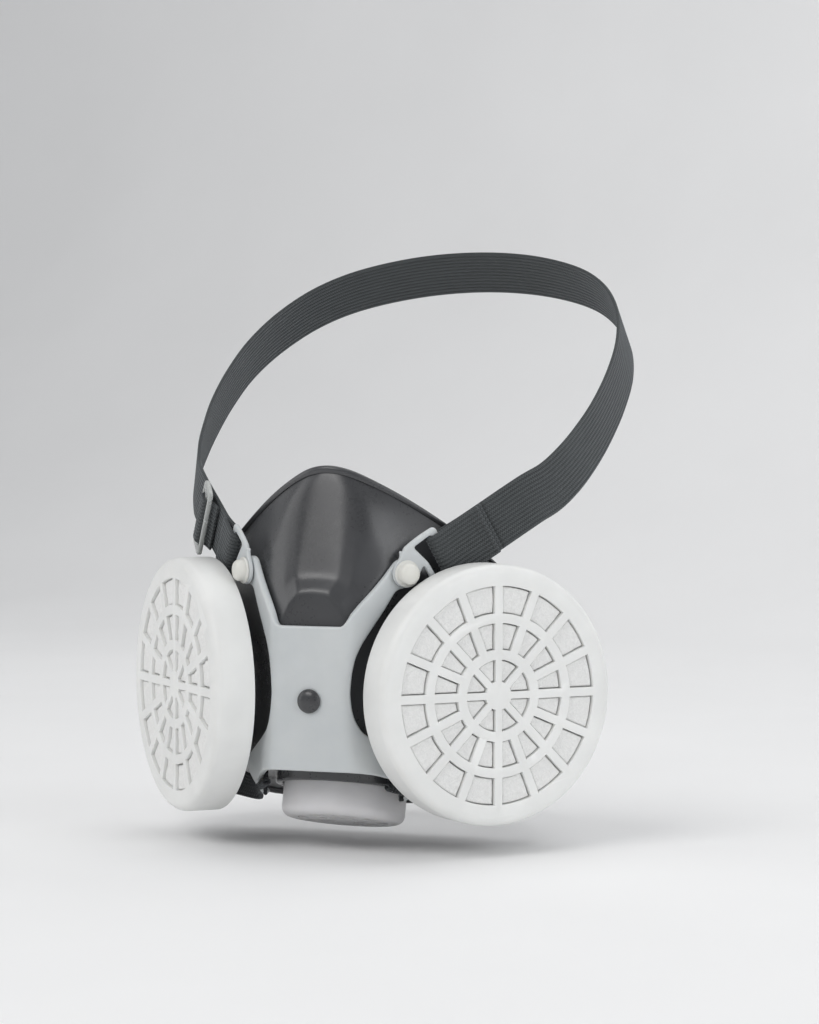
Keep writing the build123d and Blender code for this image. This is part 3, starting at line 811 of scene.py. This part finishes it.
# Head strap, wearer's left, from the buckle to the back of the head: point, outward normal
HEAD_RUN = np.array([
    (strap_point(12, BAR_OUT), OUT),
    (BAR + STRAP_DIR * 18.6, OUT),
    (BAR + STRAP_DIR * 34.6, OUT),
    ((61.5, -5.5, 66.0), (0.84, -0.52, 0.04)),
    ((65.2, 4.0, 72.0), (0.91, -0.40, 0.08)),
    ((67.6, 15, 79), (0.95, -0.25, 0.12)),
    ((69.2, 27, 87), (0.97, -0.10, 0.16)),
    ((69.6, 42, 97), (0.96, 0.06, 0.24)),
    ((68, 58, 107.5), (0.91, 0.22, 0.33)),
    ((63, 74, 117.5), (0.80, 0.42, 0.42)),
    ((54, 88.5, 126.5), (0.62, 0.60, 0.50)),
    ((41, 100, 133), (0.42, 0.72, 0.55)),
    ((21.5, 108, 137.5), (0.20, 0.80, 0.57)),
    ((0, 110.5, 139.0), (0, 0.82, 0.58))], float)


def build_head_strap():
    """Head strap, folded round both bars and split where the left end starts to bend."""
    left = catmull(strap_point(*FOLD_LEFT.T), per_span=8)
    right = catmull((strap_point(*FOLD_RIGHT.T) * MIRROR)[::-1], per_span=8)
    points, normals = HEAD_RUN[:, 0], HEAD_RUN[:, 1]
    body = catmull(np.vstack([points, (points[:-1] * MIRROR)[::-1]]), per_span=14)
    normals = catmull(np.vstack([normals, (normals[:-1] * MIRROR)[::-1]]), per_span=14)
    body_across = unit(np.cross(normals, np.gradient(body, axis=0)))
    path = np.vstack([left[:-1], body, right[1:]])
    across = np.vstack([np.repeat(BAR_DIR[None], len(left) - 1, 0), body_across,
                        np.repeat((BAR_DIR * MIRROR)[None], len(right) - 1, 0)])
    path, across, lengths = even_steps(path, across, step=1.3)
    split = int(np.where((path - BAR) @ STRAP_DIR > 18.0)[0][0])
    thick = 1.25
    end = ribbon("head_strap_left_end", path[:split + 1], across[:split + 1], HEAD_WEB,
                 HEAD_WIDTH, thick, HEAD_RIBS)
    rest = ribbon("head_strap_webbing", path[split:], across[split:], HEAD_WEB,
                  HEAD_WIDTH, thick, HEAD_RIBS, start_length=float(lengths[split]))
    return end, rest


strap_end, head_strap = build_head_strap()
register(head_strap, "head_harness", "head_strap")
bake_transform(strap_end)


def build_stitches():
    """Two rows of stitches across the folded left end."""
    length, radius, count, row_width = 1.05, 0.17, 11, 14.8
    profile = [(0, -length / 2)]
    profile += [(radius * math.sin(math.radians(g)), -length / 2 * math.cos(math.radians(g)))
                for g in (30, 60, 90, 120, 150)]
    profile += [(0, length / 2)]
    axis = BAR_DIR * 0.97 + STRAP_DIR * 0.12
    stitches = []
    for along, out in ((15.6, 53.08), (13.4, 53.04)):
        for k in range(count):
            across = -row_width / 2 + row_width * k / (count - 1)
            stitches.append(lathe("st", strap_point(along, out, across), axis, OUT, profile,
                                  THREAD, segments=10))
    return join("head_strap_stitches", stitches)


register(build_stitches(), "head_harness")


# ---------------------------------------------------------------- moulded sheets
def round_corners(points, radius, per_corner):
    """Rounds a closed polygon; radius is one number or one per corner."""
    points = np.asarray(points, float)
    radii = np.broadcast_to(radius, len(points))
    rounded = []
    for i in range(len(points)):
        a, b, c = points[i - 1], points[i], points[(i + 1) % len(points)]
        length_a, length_c = np.linalg.norm(a - b), np.linalg.norm(c - b)
        reach = min(radii[i], 0.48 * length_a, 0.48 * length_c)
        p0, p2 = b + (a - b) / length_a * reach, b + (c - b) / length_c * reach
        for t in np.linspace(0, 1, per_corner):
            rounded.append((1 - t) ** 2 * p0 + 2 * t * (1 - t) * b + t * t * p2)
    return np.array(rounded)


def even(points, step):
    """A closed polygon resampled at about the given step."""
    ring = np.vstack([points, points[:1]])
    lengths = arc_length(ring)
    count = int(round(lengths[-1] / step))
    return at_lengths(ring, np.linspace(0, lengths[-1], count, endpoint=False), lengths)


def inset(points, distance):
    """Moves a closed polygon inwards."""
    tangents = unit(np.roll(points, -1, 0) - np.roll(points, 1, 0))
    normals = np.stack([-tangents[:, 1], tangents[:, 0]], -1)
    x, y = points.T
    area = 0.5 * np.sum(x * np.roll(y, -1) - np.roll(x, -1) * y)
    return points + normals * distance * (1 if area > 0 else -1)


def inside(polygon, points):
    x, y = points[:, 0][:, None], points[:, 1][:, None]
    x0, y0 = polygon[:, 0], polygon[:, 1]
    x1, y1 = np.roll(x0, -1), np.roll(y0, -1)
    crossings = ((y0 > y) != (y1 > y)) & (x < (x1 - x0) * (y - y0) / (y1 - y0 + 1e-12) + x0)
    return crossings.sum(1) % 2 == 1


def within(loops, points):
    """True inside the first loop and outside all the others."""
    keep = inside(loops[0], points)
    for hole in loops[1:]:
        keep &= ~inside(hole, points)
    return keep


def fill_points(loops, spacing):
    """Staggered grid over the sheet, clear of its edges."""
    low, high = loops[0].min(0), loops[0].max(0)
    columns_x = np.arange(low[0] + 0.3, high[0], spacing)
    rows_y = np.arange(low[1] + 0.3, high[1], spacing * 0.866)
    grid = np.array([(x + (0.5 * spacing if j % 2 else 0), y)
                     for j, y in enumerate(rows_y) for x in columns_x])
    grid = grid[within(loops, grid)]
    border = np.vstack(loops)
    gaps = np.array([np.min(np.hypot(*(border - point).T)) for point in grid])
    return grid[gaps > 0.45 * spacing]


def sheet(name, outline, holes, bend, thick, material, edge, step, spacing):
    """A flat outline with holes and edges rounded to edge, placed by bend(points, depth)."""
    loops = [even(outline, step)] + [even(hole, step * 0.7) for hole in holes]
    signs = [1] + [-1] * len(holes)
    # (inset, depth) round the edge, from the front face to the back one
    angles = [math.pi / 2 * j / 4 for j in range(5)]
    quarter = [(edge * (1 - math.sin(a)), edge * (1 - math.cos(a))) for a in angles]
    profile = quarter + [(inward, thick - depth) for inward, depth in quarter[::-1]]

    face_loops = [inset(loop, sign * edge) for loop, sign in zip(loops, signs)]
    flat, edges = [], []
    for loop in face_loops:
        base = len(flat)
        flat += [Vector(point) for point in loop]
        edges += [(base + i, base + (i + 1) % len(loop)) for i in range(len(loop))]
    flat += [Vector(point) for point in fill_points(face_loops, spacing)]
    points, _, triangles, origins, _, _ = delaunay_2d_cdt(flat, edges, [], 0, 1e-6)
    points = np.array([tuple(point) for point in points])
    triangles = np.array([tuple(triangle) for triangle in triangles])
    triangles = triangles[within(face_loops, points[triangles].mean(1))]
    index_of = {}
    for new, olds in enumerate(origins):
        for old in olds:
            index_of[old] = new

    count = len(points)
    verts = [bend(points, np.zeros(count)), bend(points, np.full(count, thick))]
    faces = [tuple(t) for t in triangles] + [tuple(t[::-1] + count) for t in triangles]
    total = 2 * count
    base = 0
    for loop, sign in zip(loops, signs):
        size = len(loop)
        front = [index_of[base + i] for i in range(size)]
        rows = [front]
        for inward, depth in profile[1:-1]:
            verts.append(bend(inset(loop, sign * inward), np.full(size, depth)))
            rows.append([total + i for i in range(size)])
            total += size
        rows.append([i + count for i in front])
        for a, b in zip(rows[:-1], rows[1:]):
            for i in range(size):
                i2 = (i + 1) % size
                faces.append((a[i], a[i2], b[i2], b[i]))
        base += size
    ob = new_obj(name, np.vstack(verts), faces, material)
    fix_normals(ob)
    return ob


# ---------------------------------------------------------------- front frame
FRAME_Y = -60.5                    # front of the flat middle plate
FOLD_CORNER = 12.42                # x where the plate and its side would meet unrounded
FOLD_RADIUS, FOLD_ANGLE = 5.0, math.radians(47.24)
ARM_OUT = 50.2                     # front of the folded sides, along OUT

# Lower arms: (distance from the middle, upper z, upper OUT, lower z, lower OUT)
ARM_X, ARM_UPPER_Z, ARM_UPPER_OUT, ARM_LOWER_Z, ARM_LOWER_OUT = np.array([
    (16.5, -8.4, 50.2, -22.7, 50.2), (22.5, -12.8, 50.2, -23.4, 49.7),
    (28.5, -16.2, 50.2, -25.2, 48.2), (33.5, -19.2, 50.2, -27.2, 46.8),
    (38.5, -22.5, 49.2, -29.6, 45.8)]).T

# Half outline of the flat sheet, (distance from the middle, z), from the top middle round
# the rivet lobe and the lower arm to the bottom middle
FRAME_HALF = np.array(
    [(0, 23.3), (10.6, 23.3), (13.5, 26.3), (17.0, 30.0), (21.9, 34.6), (25.7, 38.6)]
    + arc(32.4, RIVET_UP, 4.7, (152, 125, 98, 70, 42, 15, -12, -40, -66, -92))
    + [(29.6, 34.2), (25.2, 27.7), (21.3, 22.6), (17.7, 17.8), (15.4, 13.4), (14.2, 8.5),
       (13.6, 2.5), (14.2, -2.5), (15.4, -6.0), (17.8, -9.6), (22.5, -12.8), (28.5, -16.2),
       (33.5, -19.2), (38.5, -22.5), (40.3, -25.4), (39.8, -29.0), (37.6, -32.2),
       (35.6, -33.4), (34.3, -32.6), (36.0, -29.9), (36.3, -28.9), (33.5, -27.2),
       (28.5, -25.2), (22.5, -23.4), (17.0, -22.5), (12.5, -22.0), (0, -22.0)], float)


def bend_frame(points, depth):
    """Folds both sides back along the muzzle and leans the lower arms in."""
    across, z = np.abs(points[:, 0]), points[:, 1]
    fold_start = FOLD_CORNER - FOLD_RADIUS * math.tan(FOLD_ANGLE / 2)
    fold_length = FOLD_RADIUS * FOLD_ANGLE
    past = across - fold_start
    angle = np.clip(past / fold_length, 0, 1) * FOLD_ANGLE
    beyond = np.clip(past - fold_length, 0, None)
    x = np.where(past <= 0, across,
                 fold_start + FOLD_RADIUS * np.sin(angle) + beyond * math.cos(FOLD_ANGLE))
    y = np.where(past <= 0, FRAME_Y,
                 FRAME_Y + FOLD_RADIUS * (1 - np.cos(angle)) + beyond * math.sin(FOLD_ANGLE))
    normals = np.stack([np.sin(angle), -np.cos(angle), np.zeros_like(across)], -1)
    placed = np.stack([x, y, z], -1)

    upper_z = np.interp(across, ARM_X, ARM_UPPER_Z)
    lower_z = np.interp(across, ARM_X, ARM_LOWER_Z)
    upper = np.interp(across, ARM_X, ARM_UPPER_OUT) - ARM_OUT
    lower = np.interp(across, ARM_X, ARM_LOWER_OUT) - ARM_OUT
    share = np.clip((upper_z - z) / (upper_z - lower_z), 0, 1.6)
    # the lean fades in away from the middle and below the port
    fade = np.clip((across - 13.5) / 5.0, 0, 1)
    fade = fade * fade * (3 - 2 * fade)
    below = np.clip((-z - 5.0) / 4.0, 0, 1)
    shift = (upper + (lower - upper) * share) * fade * below
    placed += normals * shift[:, None]
    lean = (upper - lower) / (upper_z - lower_z) * fade * below * np.clip(share * 4, 0, 1)
    leaned = unit(normals + np.array([0, 0, -1.0]) * lean[:, None])
    placed = placed - leaned * depth[:, None]
    placed[:, 0] *= np.where(points[:, 0] < 0, -1.0, 1.0)
    return placed


def build_frame():
    radii = [1.4] * len(FRAME_HALF)
    radii[1] = 1.2
    outline = np.vstack([FRAME_HALF, FRAME_HALF[-2:0:-1] * np.array([-1, 1])])
    outline = round_corners(outline, radii + radii[-2:0:-1], per_corner=6)
    stud_hole = circle(0, 0, radius=2.5, count=40)
    return sheet("frame_moulded", outline, [stud_hole], bend_frame, 2.4, MILKY,
                 edge=0.75, step=0.75, spacing=1.4)


register(build_frame(), "root", "frame")


# ---------------------------------------------------------------- buckles and rivets
def from_bar(points):
    """(along the strap, along the bar) to (ACROSS, UP)."""
    return [(BAR_ACROSS + along * DIR_ACROSS - across * DIR_UP,
             BAR_UP + along * DIR_UP + across * DIR_ACROSS) for along, across in points]


BUCKLE_OUTLINE = round_corners(
    arc(RIVET_ACROSS, RIVET_UP, 4.6, (150, 180, 210, 240, 270, 300, 330, 350))
    + from_bar([(-8.0, 2.0), (-7.8, -6.0), (-7.6, -10.0), (-7.0, -10.7), (0.5, -10.7),
                (1.3, -10.0), (1.3, 9.8), (0.5, 10.7), (-4, 10.8), (-8.0, 10.6),
                (-11.2, 10.2), (-12.4, 9.2)])
    + [(-18.3, 46.8), (-17.9, 44.8)], 1.2, per_corner=5)
BUCKLE_WINDOW = round_corners(
    from_bar([(-8.4, 8.6), (-1.2, 8.9), (-1.2, -8.9), (-5.6, -8.9), (-6.2, 2.0)]),
    1.0, per_corner=5)
RIVET_PROFILE = (
    [(0, -4.9), (1.85, -4.9), (1.85, 0.05), (4.05, 0.06), (4.2, 0.15), (4.25, 0.5),
     (4.1, 0.78), (3.60, 0.86), (3.45, 0.95), (3.42, 2.0)]
    + [(3.42 - 1.9 * (1 - math.cos(math.radians(g))), 2.0 + 1.7 * math.sin(math.radians(g)))
       for g in (15, 30, 45, 60, 75, 90)]
    + [(0.8, 3.78), (0, 3.8)])


def build_buckle(name, side):
    def place(points, depth):
        return port_point(BUCKLE_FACE - depth, points[:, 0], points[:, 1], side)

    rivet_hole = circle(RIVET_ACROSS, RIVET_UP, radius=2.0, count=28)
    return sheet(name, BUCKLE_OUTLINE, [BUCKLE_WINDOW, rivet_hole], place, 1.4, MILKY,
                 edge=0.5, step=0.55, spacing=1.1)


def build_rivet(name, side):
    return lathe(name, port_point(BUCKLE_FACE, RIVET_ACROSS, RIVET_UP, side),
                 OUT * np.array([side, 1, 1]), UP, RIVET_PROFILE, IVORY, segments=64)


for side_name, side in SIDES:
    register(build_buckle(side_name + "_buckle_moulded", side), side_name + "_buckle",
             side_name + "_strap_buckle")
    register(build_rivet(side_name + "_rivet_head", side), "root",
             side_name + "_rivet")


# ---------------------------------------------------------------- slider, wearer's right
SLIDER_ALONG = 21.1                # middle of the slider, from the bar along the strap
SLIDER_OUT = 54.4                  # middle of the tilted slider, along OUT
SLIDER_FLAT_OUT = 53.8             # the same middle in the untilted tables below
SLIDER_TILT = math.radians(10)

# Webbing over the slider's middle bar: (along from the slider's middle, along OUT), untilted
SLIDER_LOOP = [(-6.4, 50.9), (-4.6, 51.7), (-3.3, 52.5), (-2.65, 53.5), (-2.45, 54.4),
               (-1.8, 55.1), (-0.6, 55.3), (0.6, 55.3), (1.8, 55.1), (2.45, 54.4),
               (2.65, 53.5), (3.3, 52.6), (4.4, 52.35), (5.6, 52.3)]


def slider_point(along, out, across=0.0):
    """Points about the tilted slider."""
    cosine, sine = math.cos(SLIDER_TILT), math.sin(SLIDER_TILT)
    height = out - SLIDER_FLAT_OUT
    turned = cosine * along + sine * height
    return strap_point(SLIDER_ALONG + turned,
                       SLIDER_OUT - sine * along + cosine * height, across) * MIRROR


def build_slider():
    def place(points, depth):
        return slider_point(points[:, 1], 54.6 - depth, points[:, 0])

    outline = round_corners(rectangle(12, -5.2, 5.2), 2.2, per_corner=6)
    windows = [round_corners(rectangle(9.0, low, high), 0.8, per_corner=4)
               for low, high in ((1.5, 4.0), (-4.0, -1.5))]
    return sheet("slider_plate", outline, windows, place, 1.6, CLEAR,
                 edge=0.55, step=0.6, spacing=1.2)


def build_slider_loop():
    path = slider_point(*catmull(SLIDER_LOOP, per_span=6).T)
    across = np.repeat((BAR_DIR * MIRROR)[None], len(path), 0)
    return ribbon("slider_webbing_loop", path, across, HEAD_WEB, 16.6, 0.95, HEAD_RIBS)


register(build_slider(), "slider", "strap_slider")
register(build_slider_loop(), "slider")


# ---------------------------------------------------------------- neck strap
# Start at the frame's left hook: point, width direction
NECK_START = np.array([
    ((22.6, -40.4, -28.3), (0.12, 0.1, -1.0)),
    ((24.9, -36.9, -28.4), (0.08, 0.05, -1.0)),
    ((27.9, -32.6, -29.3), (0, 0, -1.0))])
# On to the middle of the back: point, outward normal
NECK_RUN = np.array([
    ((31.4, -28.2, -31.8), (0.50, -0.80, -0.30)), ((39, -25, -30.8), (0.53, -0.84, -0.10)),
    ((46.2, -21, -30.2), (0.62, -0.78, 0)), ((53.1, -14.0, -30.0), (0.78, -0.62, 0)),
    ((57.7, -8, -30.0), (0.88, -0.47, 0)), ((60.2, 0.5, -30.2), (0.99, -0.12, 0)),
    ((59.8, 8, -30.4), (0.98, 0.20, 0)), ((56.5, 17, -30.7), (0.95, 0.30, 0)),
    ((50, 27, -31.2), (0.90, 0.43, 0)), ((43.5, 38, -31.8), (0.79, 0.61, 0)),
    ((34.5, 47.5, -32.3), (0.62, 0.78, 0)), ((23.5, 54.5, -32.7), (0.44, 0.90, 0)),
    ((12, 58.5, -33.0), (0.22, 0.97, 0)), ((0, 60, -33.1), (0, 1, 0))], float)

# The hook's slot on the wearer's left, and the loop's axes and centre
SLOT_FRONT, SLOT_BACK = np.array([21.2, -46.3, -25.9]), np.array([26.0, -40.1, -28.4])
SLOT_DIR = (SLOT_BACK - SLOT_FRONT) / np.linalg.norm(SLOT_BACK - SLOT_FRONT)
LOOP_DOWN = np.array([-0.51, -0.31, -0.80])
LOOP_DOWN = LOOP_DOWN - SLOT_DIR * (LOOP_DOWN @ SLOT_DIR)
LOOP_DOWN /= np.linalg.norm(LOOP_DOWN)
LOOP_OUT = np.cross(LOOP_DOWN, SLOT_DIR)
LOOP_CENTRE = (SLOT_FRONT + SLOT_BACK) / 2 + LOOP_DOWN * 1.9 - LOOP_OUT * 0.5


def build_neck_strap():
    points, normals = NECK_RUN[:, 0], NECK_RUN[:, 1]
    tangents = np.gradient(np.vstack([points, (points[-2] * MIRROR)[None]]), axis=0)[:-1]
    half = np.vstack([NECK_START[:, 0], points])
    half_across = np.vstack([NECK_START[:, 1], unit(np.cross(tangents, normals))])
    path = catmull(np.vstack([half, (half[:-1] * MIRROR)[::-1]]), per_span=12)
    across = catmull(np.vstack([half_across, (half_across[:-1] * MIRROR)[::-1]]), per_span=12)
    path, across, _ = even_steps(path, across, step=1.2)
    return ribbon("neck_strap_webbing.001", path, across, NECK_WEB, 9.0, 1.2, NECK_RIBS)


def build_hook_loop(side):
    """The end of the neck strap, looped through the frame's hook."""
    mirror = np.array([side, 1, 1])
    turns = np.radians(np.linspace(0, 360, 29))[:, None]
    # a rounded rectangle rather than an ellipse
    down, out = (np.sign(wave) * np.abs(wave) ** 0.7 for wave in (np.sin(turns), np.cos(turns)))
    path = (LOOP_CENTRE + LOOP_DOWN * (0.75 * down) + LOOP_OUT * (1.15 * out)) * mirror
    across = np.repeat((SLOT_DIR * mirror)[None], len(path), 0)
    return ribbon("loop", path, across, NECK_WEB, 7.6, 1.0, NECK_RIBS)


neck_strap = build_neck_strap()
hook_loops = join("neck_strap_hook_loops", [build_hook_loop(side) for _, side in SIDES])
register(hook_loops, "root")
register(neck_strap, "neck_harness", "neck_strap")

# ---------------------------------------------------------------- felt pads
# Rings of cells in the grille: (inner radius, outer radius, spokes, spoke width)
CELLS = [(4.5, 11.3, 8, 2.2), (14.4, 22.7, 16, 2.7), (25.7, 34.3, 16, 2.7)]
GRILLE_THICK = 3.0
PAD_BACK = FILTER_FACE - 12.7 + 2.3
PAD_FRONT = FILTER_FACE - GRILLE_THICK - 0.25
PAD_RADIUS = 38.3


def pad_bulge(radius, angle):
    """How far the felt rises into the grille's cells."""
    rise = np.zeros_like(radius)
    for inner, outer, count, spoke in CELLS:
        pitch = 2 * math.pi / count
        to_spoke = np.abs((angle + pitch / 2) % pitch - pitch / 2)
        gap = radius * np.sin(np.minimum(to_spoke, math.pi / 2)) - spoke / 2
        gap = np.minimum(np.minimum(radius - inner, outer - radius), gap) - 0.06
        share = np.clip(gap / 0.5, 0, 1)
        rise = np.maximum(rise, 2.3 * (1 - (1 - share) ** 2.2) * (gap > 0))
    return rise


def pad_lumps(radius, angle, seed):
    """Smooth random lumps on a 24 by 48 polar lattice."""
    lattice = np.random.default_rng(seed).normal(size=(24, 48))
    row = np.clip(radius / PAD_RADIUS * 22, 0, 22.9)
    column = angle / (2 * math.pi) * 48
    i, j = row.astype(int), column.astype(int) % 48
    u, v = row - i, column - column.astype(int)
    j2 = (j + 1) % 48
    return (lattice[i, j] * (1 - u) * (1 - v) + lattice[i + 1, j] * u * (1 - v)
            + lattice[i, j2] * (1 - u) * v + lattice[i + 1, j2] * u * v)


def build_pad(name, side, seed):
    """Felt disc, pressed up into the cells of the grille."""
    turns = np.linspace(0, 2 * math.pi, 512, endpoint=False)
    radius, angle = np.meshgrid(np.linspace(0.3, PAD_RADIUS - 0.6, 150), turns, indexing="ij")
    rise = pad_bulge(radius, angle)
    rise = rise + np.where(rise > 0.3, 0.10 * pad_lumps(radius, angle, seed), 0)

    def polar(out, radius, angle):
        out = out + np.zeros_like(angle)
        return port_point(out, PORT_ACROSS + radius * np.cos(angle),
                          PORT_UP + radius * np.sin(angle), side)

    rim = [(PAD_RADIUS, PAD_FRONT - 0.6), (PAD_RADIUS, PAD_BACK + 0.4),
           (PAD_RADIUS - 0.4, PAD_BACK)]
    rings = np.concatenate([polar(PAD_FRONT + rise, radius, angle),
                            np.stack([polar(out, r, turns) for r, out in rim])])
    front, back = (port_point(out, PORT_ACROSS, PORT_UP, side) for out in (PAD_FRONT, PAD_BACK))
    return closed_grid(name, rings, front, back, FELT)


for (side_name, side), seed in zip(SIDES, (7, 11)):
    register(build_pad(side_name + "_felt_pad", side, seed), side_name + "_cartridge",
             side_name + "_filter_pad")


# ---------------------------------------------------------------- studio
def build_floor():
    """A floor that sweeps up into a back wall, turned to face the camera."""
    paint_material = make_floor_paint("floor_paint")
    floor_z = (min(CAD_LO.z, 0) - 0.004) * 1000
    sweep = 500
    profile = [(-1600, floor_z), (600, floor_z)]
    profile += [(600 + sweep * math.sin(a), floor_z + sweep - sweep * math.cos(a))
                for a in np.linspace(0.15, math.pi / 2, 12)]
    profile += [(600 + sweep, floor_z + 2400)]
    turn = math.radians(-20.9)
    cosine, sine = math.cos(turn), math.sin(turn)
    verts = [(x * cosine - y * sine, x * sine + y * cosine, z)
             for x in (-2600, 2600) for y, z in profile]
    count = len(profile)
    faces = [(i, i + 1, count + i + 1, count + i) for i in range(count - 1)]
    new_obj("floor_sweep", verts, faces, paint_material)


def area_light(name, location, size, watts, colour=(1, 1, 1), target=(0, -0.03, 0.02)):
    """A rectangular light aimed at the target; metres."""
    light = bpy.data.lights.new(name, "AREA")
    light.shape = "RECTANGLE"
    light.size, light.size_y = size
    light.energy = watts
    light.color = colour
    ob = bpy.data.objects.new(name, light)
    bpy.context.scene.collection.objects.link(ob)
    ob.location = location
    aim = Vector(target) - Vector(location)
    ob.rotation_euler = aim.to_track_quat("-Z", "Y").to_euler()


def build_world():
    world = bpy.data.worlds.new("studio")
    bpy.context.scene.world = world
    world.use_nodes = True
    background = world.node_tree.nodes["Background"]
    background.inputs["Color"].default_value = (0.96, 0.975, 1.0, 1)
    background.inputs["Strength"].default_value = 0.37


def build_camera():
    data = bpy.data.cameras.new("camera")
    camera = bpy.data.objects.new("camera", data)
    bpy.context.scene.collection.objects.link(camera)
    right = Vector((0.9427365, 0.3335342, 0.0016561))
    up = Vector((-0.0146522, 0.0364529, 0.9992280))
    forward = Vector((-0.3332164, 0.9420330, -0.0392525))
    pose = Matrix((right, up, -forward)).transposed().to_4x4()
    pose.translation = (0.3545858, -0.9698312, 0.0972344)
    camera.matrix_world = pose
    data.sensor_fit = "AUTO"
    data.sensor_width = 36
    data.lens = 110.6400234375
    data.clip_start, data.clip_end = 0.01, 30
    bpy.context.scene.camera = camera


build_floor()
area_light("key", location=(-0.45, -1.25, 1.15), size=(1.0, 0.8), watts=9.4,
           colour=(1, 0.99, 0.98))
area_light("fill", location=(1.30, -0.55, 0.45), size=(0.7, 0.9), watts=5.6,
           colour=(0.97, 0.985, 1))
area_light("top", location=(0.1, 0.25, 1.3), size=(1.2, 0.9), watts=4.4,
           target=(0, 0.0, 0.03))
area_light("back", location=(0.5, 1.0, 0.9), size=(0.8, 0.6), watts=2.4,
           target=(0, 0.05, 0.05))
area_light("left", location=(-1.2, -0.35, 0.4), size=(0.8, 0.8), watts=2.2)
build_world()
build_camera()
bpy.context.scene.view_settings.view_transform = "Standard"
bpy.context.scene.view_settings.look = "None"

bpy.context.view_layer.update()
